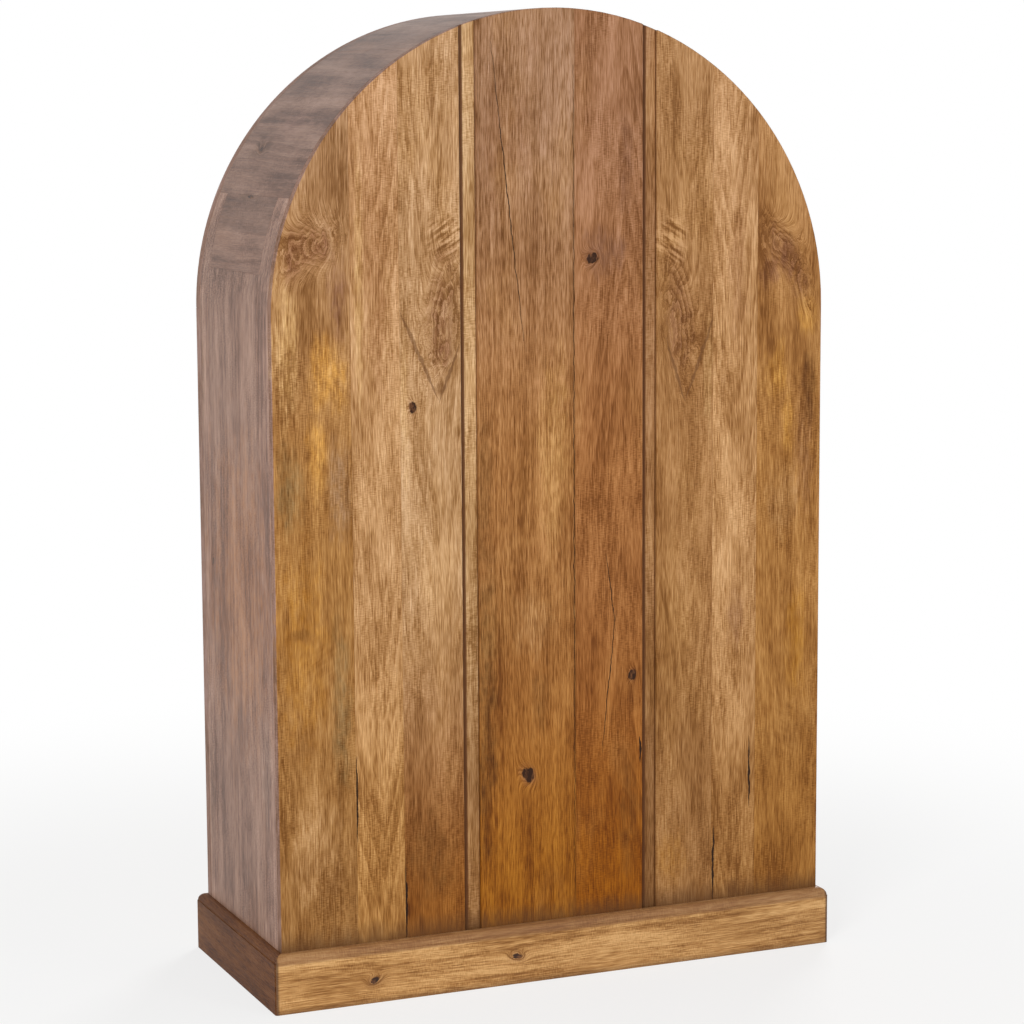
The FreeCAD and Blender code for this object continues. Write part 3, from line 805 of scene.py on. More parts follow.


# Back boards, from the left seen from the front. The photograph shows them from behind.
# The sign of a growth's taper turns the rings' points up or down.
# The boards' tones are partly painted light: besides the wood's own tone they carry the fall of light across
# the back and a sheen towards the heads.
BACK_BOARDS = {
    "back_plank_8": {
        "tones": ((0.315, 0.148, 0.043), (0.318, 0.145, 0.038), (0.355, 0.190, 0.086)),
        "growth": (1.0, 0.500, 0.010, -0.120),
        "knots": [(0.482, 1.380, 0.040, 0.040, 0.4, 0.075, 0.0),
                  (0.450, 1.378, 0.016, 0.020, 0.0, 0.045, 0.0)],
        "patches": [(0.522, 1.205, 0.022, 0.115, 1.0, PALE_GOLD), (0.447, 1.155, 0.032, 0.060, 1.0, HONEY),
                    (0.467, 1.015, 0.017, 0.065, 1.0, HONEY), (0.522, 0.950, 0.024, 0.070, 0.9, OLIVE),
                    (0.425, 0.950, 0.022, 0.085, 0.8, DUN), (0.500, 0.66, 0.045, 0.150, 0.9, OCHRE),
                    (0.428, 0.550, 0.016, 0.140, 0.9, OLIVE), (0.501, 0.691, 0.016, 0.010, 0.7, UMBER),
                    (0.480, 0.29, 0.045, 0.090, 0.8, TAN), (0.512, 1.355, 0.014, 0.045, 0.9, RUSSET),
                    (0.424, 1.285, 0.017, 0.070, 0.8, ROSE)],
        "Stain Amount": 0.35, "Ripple Amount": 0.35,
    },
    "back_plank_7": {
        "tones": ((0.410, 0.196, 0.055), (0.445, 0.238, 0.098), (0.425, 0.222, 0.098)),
        "growth": (2.0, 0.356, 0.003, -0.210),
        "splits": [(0.4005, 0.300, 0.460, 0.0, 0.0036)],
        "patches": [(0.352, 1.40, 0.022, 0.170, 0.9, TAWNY), (0.350, 1.20, 0.012, 0.080, 0.7, TAWNY),
                    (0.386, 1.30, 0.008, 0.200, 0.8, PALE_GOLD)],
        "Ring Amount": 0.35, "Streak Amount": 0.6, "Ripple Amount": 0.1,
    },
    "back_plank_6": {
        "tones": ((0.240, 0.082, 0.012), (0.435, 0.244, 0.110), (0.420, 0.232, 0.105)),
        "growth": (3.0, 0.240, 0.004, -0.200),
        "knots": [(0.225, 1.250, 0.028, 0.100, 0.10, 0.055, 0.0),
                  (0.222, 1.185, 0.013, 0.022, 0.0, 0.035, 0.0),
                  (0.286, 1.089, 0.0095, 0.014, 0.0, 0.014, 0.85)],
        "splits": [(0.3060, 0.095, 0.245, 0.001, 0.0036)],
        "veins": [(0.234, 1.100, 1.265, 0.074, 0.0075), (0.234, 1.095, 1.200, -0.042, 0.0065)],
        "ripples": [(0.216, 1.395, 0.030, 0.040, 2.4)],
        "patches": [(0.222, 1.365, 0.020, 0.025, 0.5, RUSSET), (0.258, 0.27, 0.045, 0.080, 0.7, UMBER),
                    (0.300, 1.10, 0.010, 0.120, 0.5, PALE_GOLD), (0.232, 1.122, 0.010, 0.010, 0.7, UMBER)],
        "Ring Amount": 0.3, "Ripple Amount": 0.3,
    },
    "back_strip_right": {
        "tones": ((0.280, 0.130, 0.045), (0.475, 0.275, 0.120), (0.450, 0.260, 0.116)),
        "growth": (4.0, 0.100, 0.040, 0.010),
        # The wide line is painted shadow cast into the recessed strip by the board beside it; the thin one is
        # a dark joint.
        "grooves": [(0.1860, 0.0056), (0.1575, 0.0016)],
    },
    "back_plank_5": {
        "tones": ((0.285, 0.096, 0.007), (0.325, 0.138, 0.039), (0.300, 0.152, 0.074)),
        "growth": (5.0, -0.150, 0.020, 0.010),
        "knots": [(0.062, 0.392, 0.015, 0.019, -0.3, 0.028, 0.75)],
        "splits": [(0.066, 1.20, 1.74, 0.062, 0.0010), (-0.0335, 0.15, 1.70, 0.0, 0.0008)],
        "patches": [(0.143, 0.55, 0.020, 0.260, 1.0, UMBER), (0.146, 0.95, 0.016, 0.130, 0.8, UMBER),
                    (0.005, 1.00, 0.030, 0.160, 0.6, GOLD), (0.040, 0.53, 0.016, 0.060, 0.6, UMBER),
                    (0.050, 0.68, 0.035, 0.060, 0.4, TAN), (0.105, 1.56, 0.045, 0.110, 0.5, RUSSET)],
        "Fibre Amount": 0.7, "Streak Amount": 1.2, "Thread Amount": 1.8, "Pore Amount": 0.5,
        "Ring Amount": 0.2, "Ripple Amount": 0.1, "Ray Amount": 0.4,
    },
    "back_plank_4": {
        "tones": ((0.252, 0.074, 0.003), (0.315, 0.124, 0.035), (0.302, 0.138, 0.063)),
        "growth": (6.0, -0.132, 0.006, 0.170),
        "knots": [(-0.070, 1.348, 0.015, 0.013, 0.0, 0.035, 0.72),
                  (-0.152, 0.564, 0.009, 0.011, 0.0, 0.014, 0.9)],
        "splits": [(-0.090, 0.42, 0.69, -0.029, 0.0011), (-0.119, 0.65, 0.80, 0.020, 0.0010),
                   (-0.1690, 0.395, 0.445, 0.0, 0.0036)],
        "patches": [(-0.095, 1.36, 0.036, 0.040, 1.0, ROSE), (-0.138, 1.53, 0.013, 0.090, 0.7, ROSE),
                    (-0.145, 0.30, 0.020, 0.120, 0.5, UMBER)],
        "Ring Amount": 0.35, "Band Amount": 0.7, "Streak Amount": 0.7, "Ripple Amount": 0.0,
    },
    "back_strip_left": {
        "tones": ((0.250, 0.115, 0.038), (0.300, 0.141, 0.051), (0.290, 0.136, 0.055)),
        "growth": (7.0, -0.100, 0.040, 0.010),
        # The wide line is painted shadow cast into the recessed strip by the board beside it; the thin one is
        # a dark joint.
        "grooves": [(-0.1785, 0.0050), (-0.2028, 0.0020)],
    },
    "back_plank_3": {
        "tones": ((0.310, 0.143, 0.045), (0.328, 0.152, 0.049), (0.370, 0.185, 0.071)),
        "grain": "upright_mirrored",
        "growth": (3.3, 0.268, 0.004, -0.200),
        "knots": [(0.246, 1.225, 0.028, 0.090, 0.05, 0.055, 0.0)],
        "veins": [(0.262, 1.075, 1.240, 0.062, 0.0065), (0.262, 1.075, 1.200, -0.042, 0.0060)],
        "ripples": [(0.234, 1.375, 0.028, 0.040, 2.4)],
        "patches": [(0.235, 1.345, 0.020, 0.025, 0.5, RUSSET), (0.310, 1.12, 0.010, 0.100, 0.5, PALE_GOLD),
                    (0.235, 0.20, 0.030, 0.050, 0.5, OCHRE)],
        "Ring Amount": 0.3, "Ripple Amount": 0.25,
    },
    "back_plank_2": {
        "tones": ((0.345, 0.158, 0.045), (0.485, 0.255, 0.101), (0.437, 0.226, 0.093)),
        "grain": "upright_mirrored",
        "growth": (2.4, 0.370, 0.003, -0.210),
        "splits": [(0.4015, 0.285, 0.425, 0.0, 0.0036), (0.3235, 0.10, 0.255, 0.002, 0.0036)],
        "patches": [(0.372, 0.66, 0.020, 0.050, 0.6, RUSSET), (0.372, 1.32, 0.018, 0.130, 0.8, TAWNY)],
        "Ring Amount": 0.35, "Streak Amount": 0.6, "Ripple Amount": 0.1,
    },
    "back_plank_1": {
        "tones": ((0.310, 0.128, 0.025), (0.355, 0.158, 0.040), (0.350, 0.163, 0.055)),
        "grain": "upright_mirrored",
        "growth": (1.4, 0.478, 0.008, -0.160),
        "knots": [(0.460, 1.365, 0.032, 0.038, 0.3, 0.080, 0.0), (0.500, 1.30, 0.020, 0.060, 0.3, 0.03, 0.0)],
        "patches": [(0.520, 1.235, 0.020, 0.038, 1.0, HONEY), (0.455, 1.118, 0.022, 0.050, 1.0, HONEY),
                    (0.479, 1.020, 0.011, 0.055, 1.0, HONEY), (0.516, 0.980, 0.017, 0.130, 0.8, TAWNY),
                    (0.526, 1.10, 0.013, 0.060, 0.8, UMBER), (0.500, 0.60, 0.020, 0.100, 1.0, OCHRE),
                    (0.440, 1.315, 0.024, 0.030, 0.9, RUSSET), (0.470, 0.88, 0.035, 0.060, 0.5, TAN),
                    (0.478, 1.345, 0.014, 0.040, 0.9, RUSSET)],
        "Stain Amount": 0.35, "Ripple Amount": 0.35,
    },
}
back_woods = {node: back_board_material(node.replace("back_", "back_wood_"), **board)
              for node, board in BACK_BOARDS.items()}

# The sides' and the hood's greyish mauve tones are partly painted reflection: a grey veil laid into the
# wood's colour.
SMOKY = {"Stain": RUSSET, "Stain Amount": 0.35, "Dark": 0.36, "Light": 1.62, "Streak Amount": 1.2,
         "Thread Amount": 1.3, "Cloud Amount": 1.5, "Pore Amount": 0.15, "Gloss": 0.34,
         "Ripple Amount": 0.15, "Pith Across": 0.05, "Green Power": 1.15, "Blue Power": 1.3}
side_wood = side_material(
    "side_wood", "side", ((0.270, 0.148, 0.100), (0.325, 0.180, 0.124)),
    # The first patch, pale mauve, low on the rear of the side, is a painted sheen: a broad soft highlight.
    patches=[(0.155, 0.42, 0.026, 0.120, 0.6, (0.46, 0.32, 0.25)), (-0.175, 0.33, 0.014, 0.120, 0.6, DEEP_BROWN),
             (0.070, 0.15, 0.050, 0.050, 0.5, RUSSET), (0.02, 0.74, 0.200, 0.240, 0.9, (0.31, 0.127, 0.047)),
             (0.0, 1.36, 0.300, 0.090, 0.9, (0.230, 0.128, 0.088)), (-0.19, 1.15, 0.012, 0.120, 0.7, DEEP_BROWN)],
    knots=[(-0.145, 0.777, 0.006, 0.012, 0.0, 0.02, 0.8)], splits=[(-0.005, 0.43, 0.53, 0.0, 0.0012)],
    **{**SMOKY, "Seed": 11.0})
hood_wood = side_material(
    "hood_wood", "hood", ((0.190, 0.101, 0.067), (0.250, 0.137, 0.093)),
    patches=[(0.316, -0.079, 0.022, 0.045, 0.7, DEEP_BROWN), (0.120, -0.175, 0.050, 0.018, 0.9, DEEP_BROWN),
             (0.219, -0.02, 0.006, 0.060, 0.6, DEEP_BROWN), (0.377, 0.01, 0.030, 0.060, 0.5, (0.28, 0.15, 0.11))],
    knots=[(0.316, -0.079, 0.012, 0.022, 0.3, 0.02, 0.5), (0.219, -0.009, 0.004, 0.020, 0.0, 0.01, 0.7)],
    **{**SMOKY, "Seed": 12.0, "Streak Amount": 0.7, "Thread Amount": 0.9, "Fibre Amount": 0.3,
       "Cloud Amount": 2.0})
plinth_end_wood = plain_material(
    "plinth_wood_front_to_back", "front_to_back", ((0.130, 0.044, 0.010), (0.155, 0.052, 0.012)),
    specular=0.12, **{"Seed": 13.0, "Stain": RUSSET})
plinth_back_wood = plinth_long_material("plinth_wood_back", 14.0, [
    (0.043, 0.377, 0.010, 0.014, 0.3, 0.03, 0.6), (0.052, 0.094, 0.009, 0.015, -0.2, 0.03, 0.6)])
plinth_front_wood = plinth_long_material("plinth_wood_front", 20.0, [
    (0.060, -0.31, 0.006, 0.010, 0.0, 0.02, 0.8)])
LINES_ROUND_THE_ARCH = (("Reach", FRAME_MIDDLE_RADIUS, FRAME_LINES_APART),
                        ("Reach", DOOR_RAIL_MIDDLE_RADIUS, DOOR_LINES_APART))
front_upright_wood = framed_material("front_wood_upright", "upright", 15.0, (
    *LINES_ROUND_THE_ARCH, ("Across", -PULL_X, DOOR_LINES_APART)))
front_rail_wood = framed_material("front_wood_level", "level", 16.0, (
    ("Height", FRAME_RAIL_MIDDLE, FRAME_LINES_APART), ("Height", DOOR_FOOT_RAIL_MIDDLE, DOOR_LINES_APART),
    ("Height", LOCK_RAIL_MIDDLE, DOOR_LINES_APART)))
front_arch_wood = framed_material("front_wood_round_the_arch", "arch", 19.0, LINES_ROUND_THE_ARCH)
carved_lower_wood = carved_material("carved_wood_lower", LOWER_FIELD)
carved_upper_wood = carved_material("carved_wood_upper", UPPER_FIELD)
relief_wood = plain_material("relief_wood", "upright", ((0.35, 0.175, 0.072), (0.39, 0.205, 0.088)),
                             **{"Seed": 17.0, "Ripple Amount": 0.1, "Stain": RUSSET, "Ray Amount": 0.4})
inside_wood = plain_material("inside_wood", "shelf", ((0.40, 0.24, 0.13), (0.46, 0.29, 0.16)),
                             **{"Seed": 18.0, "Stain Amount": 0.2, "Ray Amount": 0.4})
catch_case = worn_material("catch_case", (0.10, 0.055, 0.03), (0.07, 0.04, 0.02), 0.5, 0.5)
old_brass = worn_material("old_brass", (0.46, 0.31, 0.12), (0.10, 0.06, 0.025), 0.7, 0.28, Metallic=1.0)
plain_steel = worn_material("plain_steel", (0.52, 0.52, 0.53), (0.25, 0.25, 0.26), 0.4, 0.3, Metallic=1.0)


# Pieces

# The CAD's nodes by their finish, and how far their edges are eased. A star stands for left or right.
FINISHED_NODES = (
    (side_wood, SHARP_EDGE, "side_board_* side_posts_*"),
    (plinth_end_wood, WORKED_EDGE, "plinth_*"),
    (plinth_front_wood, WORKED_EDGE, "plinth_front"),
    (plinth_back_wood, WORKED_EDGE, "plinth_back"),
    (front_upright_wood, WORKED_EDGE, "frame_stile_* door_*_hinge_stile door_*_meeting_stile"),
    (front_rail_wood, WORKED_EDGE, "frame_bottom_rail door_*_bottom_rail door_*_lock_rail"),
    (front_arch_wood, WORKED_EDGE, "frame_arch_* door_*_arched_rail"),
    (carved_lower_wood, PANEL_EDGE, "door_*_lower_panel"),
    (carved_upper_wood, PANEL_EDGE, "door_*_upper_panel"),
    (inside_wood, WORKED_EDGE, "bottom_board shelf_lower shelf_middle shelf_upper shelf_cleats"),
    (inside_wood, WORKED_EDGE, "corner_blocks"),
    (catch_case, WORKED_EDGE, "magnetic_catches"),
    (plain_steel, METAL_EDGE, "door_*_catch_plate"),
    (old_brass, HINGE_EDGE, "hinge_frame_leaves_* hinge_door_leaves_* hinge_pins_*"),
)


def board_number(name):
    """A number from 0 to 1 that differs from one name to the next."""
    return (sum((rank + 1) * ord(letter) for rank, letter in enumerate(name)) * 0.618034) % 1.0


def finish_piece(name, work, material, body, slot, nodes=(), smooth=30, edge=0.0, numbers=None):
    """Turns the work into a piece. Its numbers tell its boards apart, one for each face."""
    numbers = numbers or [board_number(name)] * len(work.faces)
    mesh = bpy.data.meshes.new(name)
    work.to_mesh(mesh)
    work.free()
    mesh.shade_smooth()
    mesh.set_sharp_from_angle(angle=math.radians(smooth))
    mesh.materials.append(material)
    mesh.polygons.foreach_set("material_index", [0] * len(numbers))
    mesh.attributes.new("board", "FLOAT", "FACE").data.foreach_set("value", numbers)
    piece = bpy.data.objects.new(name, mesh)
    if edge:
        bevel = piece.modifiers.new("eased_edges", "BEVEL")
        bevel.width = edge
        bevel.segments = 2
        bevel.limit_method = "ANGLE"
        bevel.angle_limit = math.radians(30)
        bevel.harden_normals = True
    bpy.context.scene.collection.objects.link(piece)
    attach(piece, body)
    if nodes:
        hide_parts(*nodes)


def eased_copy(node, material, edge):
    """A copy of a CAD node, its triangles joined into whole faces and its edges eased."""
    source = frame["nodes"][node]
    work = bmesh.new()
    work.from_mesh(source.data)
    bmesh.ops.remove_doubles(work, verts=work.verts, dist=0.00001)
    bmesh.ops.dissolve_limit(work, angle_limit=math.radians(0.5), verts=work.verts, edges=work.edges)
    slot = next(row["material_slot"] for row in frame["record"]["subparts"] if row["node"] == node)
    finish_piece(node + "_eased", work, material, source["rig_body"], slot, [node], smooth=25, edge=edge,
                 numbers=[board_number(node)] * len(work.faces))


def worked_piece(name, work, *finish, mirror=False, **more):
    """A piece made from nothing. A mirrored one goes to the right-hand side."""
    if mirror:
        bmesh.ops.scale(work, vec=(-1, 1, 1), verts=work.verts)
    bmesh.ops.recalc_face_normals(work, faces=work.faces)
    finish_piece(name, work, *finish, **more)


def loft(work, outlines, closed=False):
    """Joins each outline to the next with faces, and returns the outlines' new corners."""
    rings = [[work.verts.new(point) for point in outline] for outline in outlines]
    for before, after in zip(rings, rings[1:] + (rings[:1] if closed else [])):
        for n in range(len(before)):
            work.faces.new((before[n - 1], before[n], after[n], after[n - 1]))
    return rings


def fan(work, corners, top):
    """Slopes that rise from the corners to one point."""
    peak = work.verts.new(top)
    for n in range(len(corners)):
        work.faces.new((corners[n - 1], corners[n], peak))


def turns(count):
    return [2 * math.pi * n / count for n in range(count)]


def evenly(start, end, pitch):
    """Middles of whole steps between two ends, as near a pitch apart as they can lie."""
    count = round((end - start) / pitch)
    return [start + (n + 0.5) * (end - start) / count for n in range(count)]


def stave_section(angle, y_span):
    """The four corners of a stave at an angle round the arch."""
    turn = math.radians(angle)
    inner = BODY_HALF_WIDTH - SIDE_THICKNESS
    return [(radius * math.cos(turn), y, SPRING_HEIGHT + radius * math.sin(turn))
            for radius, y in ((inner, y_span[1]), (BODY_HALF_WIDTH, y_span[1]),
                              (BODY_HALF_WIDTH, y_span[0]), (inner, y_span[0]))]


def hood_piece(node, runs):
    """Runs of staves, each stave bent to the arch in short steps and numbered as a board."""
    work = bmesh.new()
    numbers = []
    for start, end, count, y_span in runs:
        step = (end - start) / count
        for foot in (start + n * step for n in range(count)):
            rings = loft(work, [stave_section(foot + step * bend / STAVE_BENDS, y_span)
                                for bend in range(STAVE_BENDS + 1)])
            work.faces.new(reversed(rings[0]))
            work.faces.new(rings[-1])
            numbers += [board_number("stave%.1f" % foot)] * (4 * STAVE_BENDS + 2)
    worked_piece(node + "_coopered", work, hood_wood, "cabinet", "side_wood", [node], smooth=25,
                 edge=STAVE_EDGE, numbers=numbers)


def dress_hood():
    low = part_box("side_board_right")
    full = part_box("hood_staves_crown")
    short_depth = (low[0].y, low[1].y)
    full_depth = (full[0].y, full[1].y)
    long_step = (180 - 2 * LONG_STAVES_START) / LONG_STAVE_COUNT
    crown_start = 90 - CROWN_STAVE_COUNT * long_step / 2
    flank_count = (LONG_STAVE_COUNT - CROWN_STAVE_COUNT) // 2
    hood_piece("hood_staves_right", [
        (SHORT_STAVES_START, LONG_STAVES_START, SHORT_STAVE_COUNT, short_depth),
        (LONG_STAVES_START, crown_start, flank_count, full_depth)])
    hood_piece("hood_staves_left", [
        (180 - LONG_STAVES_START, 180 - SHORT_STAVES_START, SHORT_STAVE_COUNT, short_depth),
        (180 - crown_start, 180 - LONG_STAVES_START, flank_count, full_depth)])
    hood_piece("hood_staves_crown", [(crown_start, 180 - crown_start, CROWN_STAVE_COUNT, full_depth)])


def on_face(x, z, reach, turn, y):
    return (x + reach * math.cos(turn), y, z + reach * math.sin(turn))


def carve_petal(work, x, z, turn, span, inner, outer, floor, ridge):
    """A chip-carved petal: four slopes that rise from the floor to one ridge point."""
    wide = inner + 0.62 * (outer - inner)
    low = [work.verts.new(on_face(x, z, reach, turn + side, floor))
           for reach, side in ((inner, 0), (wide, -span), (outer, 0), (wide, span))]
    fan(work, low, on_face(x, z, wide, turn, ridge))


def carve_boss(work, x, z, radius, floor, top, sides=24):
    """A turned button: a low dome in three steps."""
    rises = [share * math.pi / 2 for share in (0.0, 0.35, 0.7)]
    rings = loft(work, [[on_face(x, z, radius * math.cos(rise), turn, floor + (top - floor) * math.sin(rise))
                         for turn in turns(sides)] for rise in rises])
    fan(work, rings[-1], (x, top, z))


def carve_rosette(work, x, z, radius, floor, ridge):
    """Eight long petals with eight short ones between them, round a button."""
    for turn in turns(8):
        carve_petal(work, x, z, turn, math.radians(17), radius * 0.26, radius * 0.93, floor, ridge)
        carve_petal(work, x, z, turn + math.pi / 8, math.radians(9), radius * 0.30, radius * 0.66,
                    floor, floor + (ridge - floor) * 0.6)
    carve_boss(work, x, z, radius * 0.2, floor, ridge)


def reach_of(x, z):
    """How far a point lies out from the middle, with the arch counted round its centre."""
    return math.hypot(x, max(z - SPRING_HEIGHT, 0))


def cell_middles(field):
    for row in range(round((field[1] - field[0] - 2 * CARVED_BORDER) / CELL)):
        for column in range(CELLS_ACROSS):
            yield (-FIELD_EDGE - CARVED_BORDER - (column + 0.5) * CELL,
                   field[0] + CARVED_BORDER + (row + 0.5) * CELL)


def carve_field(field):
    """Rosettes in the sunk stars, flowers on the crosses between, smaller rosettes where a star has no room.
    """
    work = bmesh.new()
    limit = FIELD_RADIUS - CARVED_BORDER
    flower = CELL * 0.15
    for x, z in cell_middles(field):
        if reach_of(x, z) + STAR_RADIUS < limit:
            carve_rosette(work, x, z, STAR_RADIUS * 0.80, POCKET_FLOOR, PANEL_FRONT - 0.0005)
        elif reach_of(x, z) + STAR_RADIUS * 0.5 < limit:
            carve_rosette(work, x, z, STAR_RADIUS * 0.5, PANEL_FRONT, PANEL_FRONT - 0.0025)
        x, z = x - CELL / 2, z + CELL / 2
        if z < field[1] - flower - 0.01 and -x < limit - flower and reach_of(x, z) + flower < limit:
            carve_rosette(work, x, z, flower, PANEL_FRONT, PANEL_FRONT - 0.0022)
    return work


def stud(work, x, z, turn, half_length, half_width, height):
    """A diamond stud on the front face, cut as a low pyramid."""
    low = [work.verts.new(on_face(x, z, half_width if n % 2 else half_length, turn + side, FRONT_FACE))
           for n, side in enumerate(turns(4))]
    fan(work, low, (x, FRONT_FACE - height, z))


def stud_line(work, start, end, size, pitch):
    """Studs along a straight line from one point of the front to another."""
    turn = math.atan2(end[1] - start[1], end[0] - start[0])
    for along in evenly(0.0, math.dist(start, end), pitch):
        x, _, z = on_face(*start, along, turn, FRONT_FACE)
        stud(work, x, z, turn, *size)


def stud_arch(work, radius, start, end, size, pitch):
    """Studs round the arch's centre, between two angles in degrees."""
    for turn in evenly(math.radians(start), math.radians(end), pitch / radius):
        x, _, z = on_face(0.0, SPRING_HEIGHT, radius, turn, FRONT_FACE)
        stud(work, x, z, turn + math.pi / 2, *size)


def carve_door_frame():
    """Rows of small studs on the door's stiles and rails, clear of the pull."""
    work = bmesh.new()
    stile = -DOOR_RAIL_MIDDLE_RADIUS
    rail_start = DOOR_RAIL_STUDS_INSET - FIELD_RADIUS
    rail_end = -DOOR_RAIL_STUDS_INSET - FIELD_EDGE
    for start, end in (((stile, DOOR_STUDS_FOOT), (stile, SPRING_HEIGHT)),
                       ((PULL_X, DOOR_STUDS_FOOT), (PULL_X, PULL_HEIGHT - STUDS_BELOW_PULL)),
                       ((PULL_X, PULL_HEIGHT + STUDS_ABOVE_PULL), (PULL_X, DOOR_STUDS_HEAD)),
                       ((rail_start, LOCK_RAIL_MIDDLE), (rail_end, LOCK_RAIL_MIDDLE)),
                       ((rail_start, DOOR_FOOT_RAIL_MIDDLE), (rail_end, DOOR_FOOT_RAIL_MIDDLE))):
        stud_line(work, start, end, DOOR_STUD, DOOR_STUD_PITCH)
    stud_arch(work, DOOR_RAIL_MIDDLE_RADIUS, DOOR_STUDS_END_ANGLE, 180, DOOR_STUD, DOOR_STUD_PITCH)
    return work


def carve_face_frame():
    """Rows of larger studs on the stiles, the bottom rail and the arch."""
    work = bmesh.new()
    foot, out = FRAME_RAIL_MIDDLE, FRAME_MIDDLE_RADIUS
    rail_end = out - FRAME_RAIL_STUDS_INSET
    for start, end in (((-out, foot), (-out, SPRING_HEIGHT)), ((out, foot), (out, SPRING_HEIGHT)),
                       ((-rail_end, foot), (rail_end, foot))):
        stud_line(work, start, end, FRAME_STUD, FRAME_STUD_PITCH)
    stud_arch(work, FRAME_MIDDLE_RADIUS, 0, 180, FRAME_STUD, FRAME_STUD_PITCH)
    return work


def ring_of_bar():
    """The pull's ring: a bar bent round, a little thicker at the foot where the hand takes it."""
    work = bmesh.new()
    outlines = []
    for turn in turns(72):
        thick = RING_WIRE * (1 - RING_SWELL + RING_SWELL * math.cos(turn))
        reaches = [(RING_RADIUS + thick * math.cos(side), thick * math.sin(side)) for side in turns(16)]
        outlines.append([(PULL_X + reach * math.sin(turn), RING_Y + rise,
                          PULL_HEIGHT - RING_RADIUS - reach * math.cos(turn)) for reach, rise in reaches])
    loft(work, outlines, closed=True)
    return work


def star_plate():
    """The pull's plate: a star with sloped edges and a ridge to each point, and the eye on it."""
    work = bmesh.new()
    notch = PLATE_RADIUS * math.cos(math.pi / 4) / math.cos(math.pi / 8)
    levels = ((1.0, FRONT_FACE), (1.0, PLATE_FRONT + 0.0014), (0.94, PLATE_FRONT + 0.0005),
              (0.60, PLATE_FRONT + 0.0009), (0.55, PLATE_FRONT), (0.30, PLATE_FRONT))
    rings = loft(work, [[on_face(PULL_X, PULL_HEIGHT, share * (notch if n % 2 else PLATE_RADIUS), turn, y)
                         for n, turn in enumerate(turns(16))] for share, y in levels])
    work.faces.new(rings[-1])
    work.faces.new(rings[0])
    for turn in turns(8):
        x, _, z = on_face(PULL_X, PULL_HEIGHT, PLATE_RADIUS * 0.5, turn + math.pi / 8, PLATE_FRONT)
        carve_boss(work, x, z, 0.0011, PLATE_FRONT + 0.0004, PLATE_FRONT - 0.0005, sides=12)
    add_eye(work)
    return work


def add_eye(work):
    """A round eye that the ring hangs in, its mouth rounded on both sides."""
    half = EYE_WIDTH / 2
    cheek = [(EYE_BORE, half * 0.6), (EYE_BORE + 0.0004, half * 0.9), (EYE_REACH - 0.0007, half),
             (EYE_REACH, half * 0.8)]
    section = [(reach, -x) for reach, x in cheek] + cheek[::-1]
    loft(work, [[(PULL_X + x, RING_Y + reach * math.cos(turn), PULL_HEIGHT + reach * math.sin(turn))
                 for reach, x in section] for turn in turns(32)], closed=True)


def screw_heads(face_x, proud):
    """Countersunk screws in the leaves, each a shallow dome with a slot cut across it."""
    work = bmesh.new()

    def outline(z, share, proud):
        return [(face_x + proud * (-0.6 if abs(math.sin(turn)) < 0.2 else 1.0),
                 LEAF_MIDDLE_Y + share * SCREW_RADIUS * math.cos(turn),
                 z + share * SCREW_RADIUS * math.sin(turn)) for turn in turns(20)]

    for height in HINGE_HEIGHTS:
        for z in (height - SCREW_PITCH, height, height + SCREW_PITCH):
            rings = loft(work, (outline(z, 1.0, 0.0), outline(z, 0.85, proud)))
            work.faces.new(rings[-1])
    return work


def dress_doors():
    for side, mirror in (("left", False), ("right", True)):
        door = "door_" + side
        for name, field in (("_lower_relief", LOWER_FIELD), ("_upper_relief", UPPER_FIELD)):
            worked_piece(door + name, carve_field(field), relief_wood, door, "carved_wood", smooth=15,
                         mirror=mirror)
        worked_piece(door + "_studs", carve_door_frame(), relief_wood, door, "front_wood", smooth=15,
                     mirror=mirror)
        worked_piece("star_plate_" + side, star_plate(), old_brass, door, "brass", ["pull_plate_" + side],
                     smooth=35, mirror=mirror)
        worked_piece("ring_bar_" + side, ring_of_bar(), old_brass, "ring_" + side, "brass",
                     ["pull_ring_" + side], smooth=60, mirror=mirror)
        worked_piece("frame_leaf_screws_" + side, screw_heads(FRAME_LEAF_FACE, SCREW_RISE), plain_steel,
                     "cabinet", "steel", mirror=mirror)
        worked_piece("door_leaf_screws_" + side, screw_heads(DOOR_LEAF_FACE, -SCREW_RISE), plain_steel,
                     door, "steel", mirror=mirror)
    worked_piece("face_frame_studs", carve_face_frame(), relief_wood, "cabinet", "front_wood", smooth=15)


for node, finish in back_woods.items():
    eased_copy(node, finish, BACK_EDGE)
for finish, edge, names in FINISHED_NODES:
    for name in names.split():
        for side in ("left", "right") if "*" in name else ("",):
            eased_copy(name.replace("*", side), finish, edge)
dress_hood()
dress_doors()


# Room, light and camera

LAMP_AIM = (0.0, 0.0, 0.9)
FLOOR_HALF_WIDTH = 12.0


def add_object(name, data):
    thing = bpy.data.objects.new(name, data)
    bpy.context.scene.collection.objects.link(thing)
    return thing


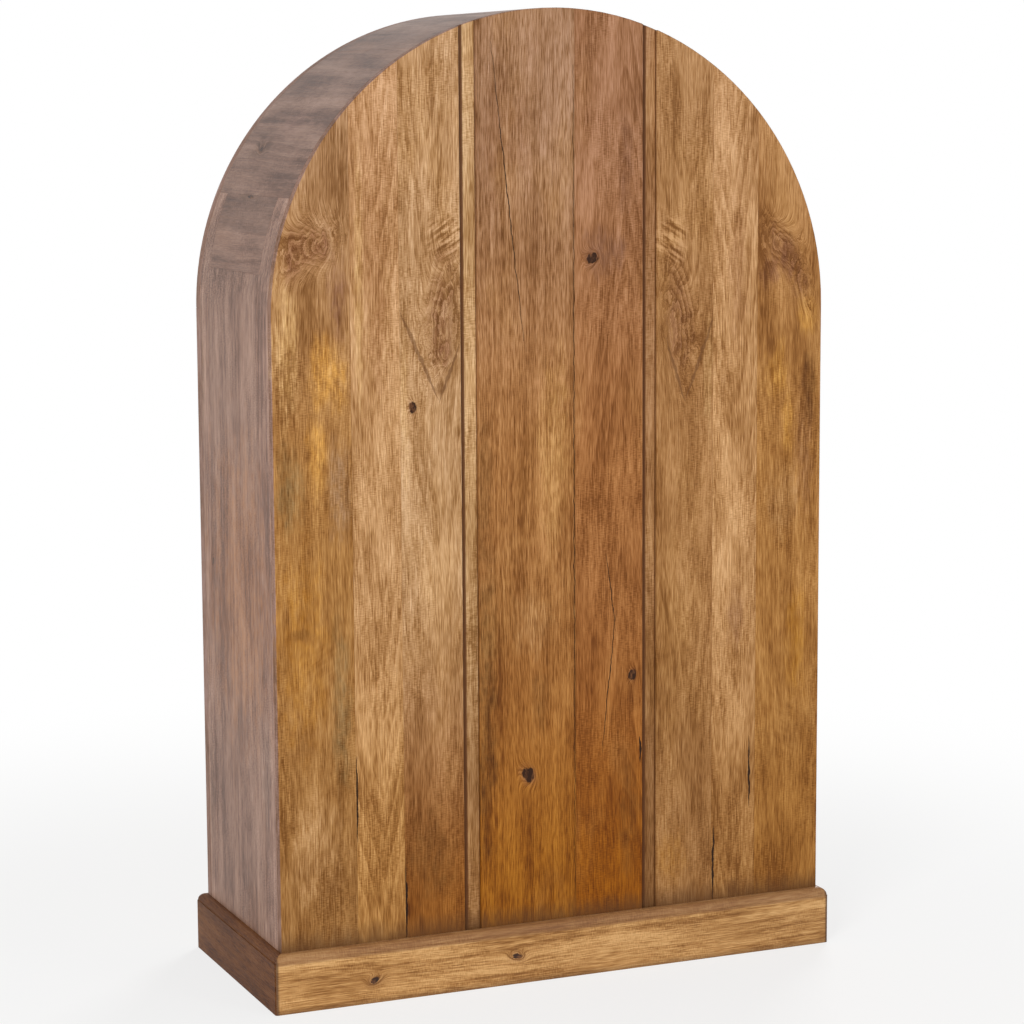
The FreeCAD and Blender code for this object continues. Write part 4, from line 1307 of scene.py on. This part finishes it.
def make_floor():
    """A pale floor that fades to white away from the cabinet."""
    half = FLOOR_HALF_WIDTH
    mesh = bpy.data.meshes.new("floor")
    mesh.from_pydata([(-half, -half, 0.0), (half, -half, 0.0), (half, half, 0.0), (-half, half, 0.0)], [],
                     [(0, 1, 2, 3)])
    material, tree = new_material("pale_floor")
    rays = add_node(tree, "ShaderNodeLightPath")
    matt = add_node(tree, "ShaderNodeBsdfDiffuse", {"Color": (0.82, 0.82, 0.81)})[0]
    glow = add_node(tree, "ShaderNodeEmission", {"Color": (1, 1, 1), "Strength": 1.0})[0]
    far = add_node(tree, "ShaderNodeVectorMath", {0: object_point(tree)}, operation="LENGTH")["Value"]
    seen = larger(rays["Is Camera Ray"], rays["Is Glossy Ray"])
    share = seen * spread(far, 0.9, 2.6, 0.72, 1.0, smooth=True)
    mixed = add_node(tree, "ShaderNodeMixShader", {0: share, 1: matt, 2: glow})[0]
    add_node(tree, "ShaderNodeOutputMaterial", {"Surface": mixed})
    mesh.materials.append(material)
    floor = add_object("floor", mesh)


def make_room_light():
    """A white room that lights the cabinet softly."""
    world = bpy.data.worlds.new("studio")
    bpy.context.scene.world = world
    world.use_nodes = True
    tree = world.node_tree
    tree.nodes.clear()
    rays = add_node(tree, "ShaderNodeLightPath")
    seen = larger(larger(rays["Is Camera Ray"], rays["Is Glossy Ray"]), rays["Is Transmission Ray"])
    strength = spread(seen, 0.0, 1.0, 0.35, 1.0)
    glow = add_node(tree, "ShaderNodeBackground", {"Color": (1, 1, 1), "Strength": strength})[0]
    add_node(tree, "ShaderNodeOutputWorld", {"Surface": glow})


def turned_to(place_at, aim):
    return (Vector(aim) - Vector(place_at)).to_track_quat("-Z", "Y")


def add_lamp(name, place_at, size, power):
    data = bpy.data.lights.new(name, "AREA")
    data.shape = "RECTANGLE"
    data.size = data.size_y = size
    data.energy = power
    lamp = add_object(name, data)
    lamp.location = place_at
    lamp.rotation_euler = turned_to(place_at, LAMP_AIM).to_euler()


def make_camera():
    data = bpy.data.cameras.new("camera")
    data.lens = CAMERA_LENS
    data.sensor_width = 36.0
    camera = add_object("camera", data)
    turn = turned_to(CAMERA_PLACE, CAMERA_AIM).to_matrix().to_4x4()
    roll = Matrix.Rotation(math.radians(CAMERA_ROLL), 4, "Z")
    camera.matrix_world = Matrix.Translation(CAMERA_PLACE) @ turn @ roll
    bpy.context.scene.camera = camera


make_floor()
make_room_light()
add_lamp("back_key", (3.2, 3.8, 2.4), 1.8, 170)
add_lamp("back_fill", (-2.4, 4.6, 2.0), 1.6, 45)
add_lamp("front_key", (-3.2, -3.8, 2.4), 1.8, 170)
make_camera()
bpy.context.scene.view_settings.view_transform = "Standard"
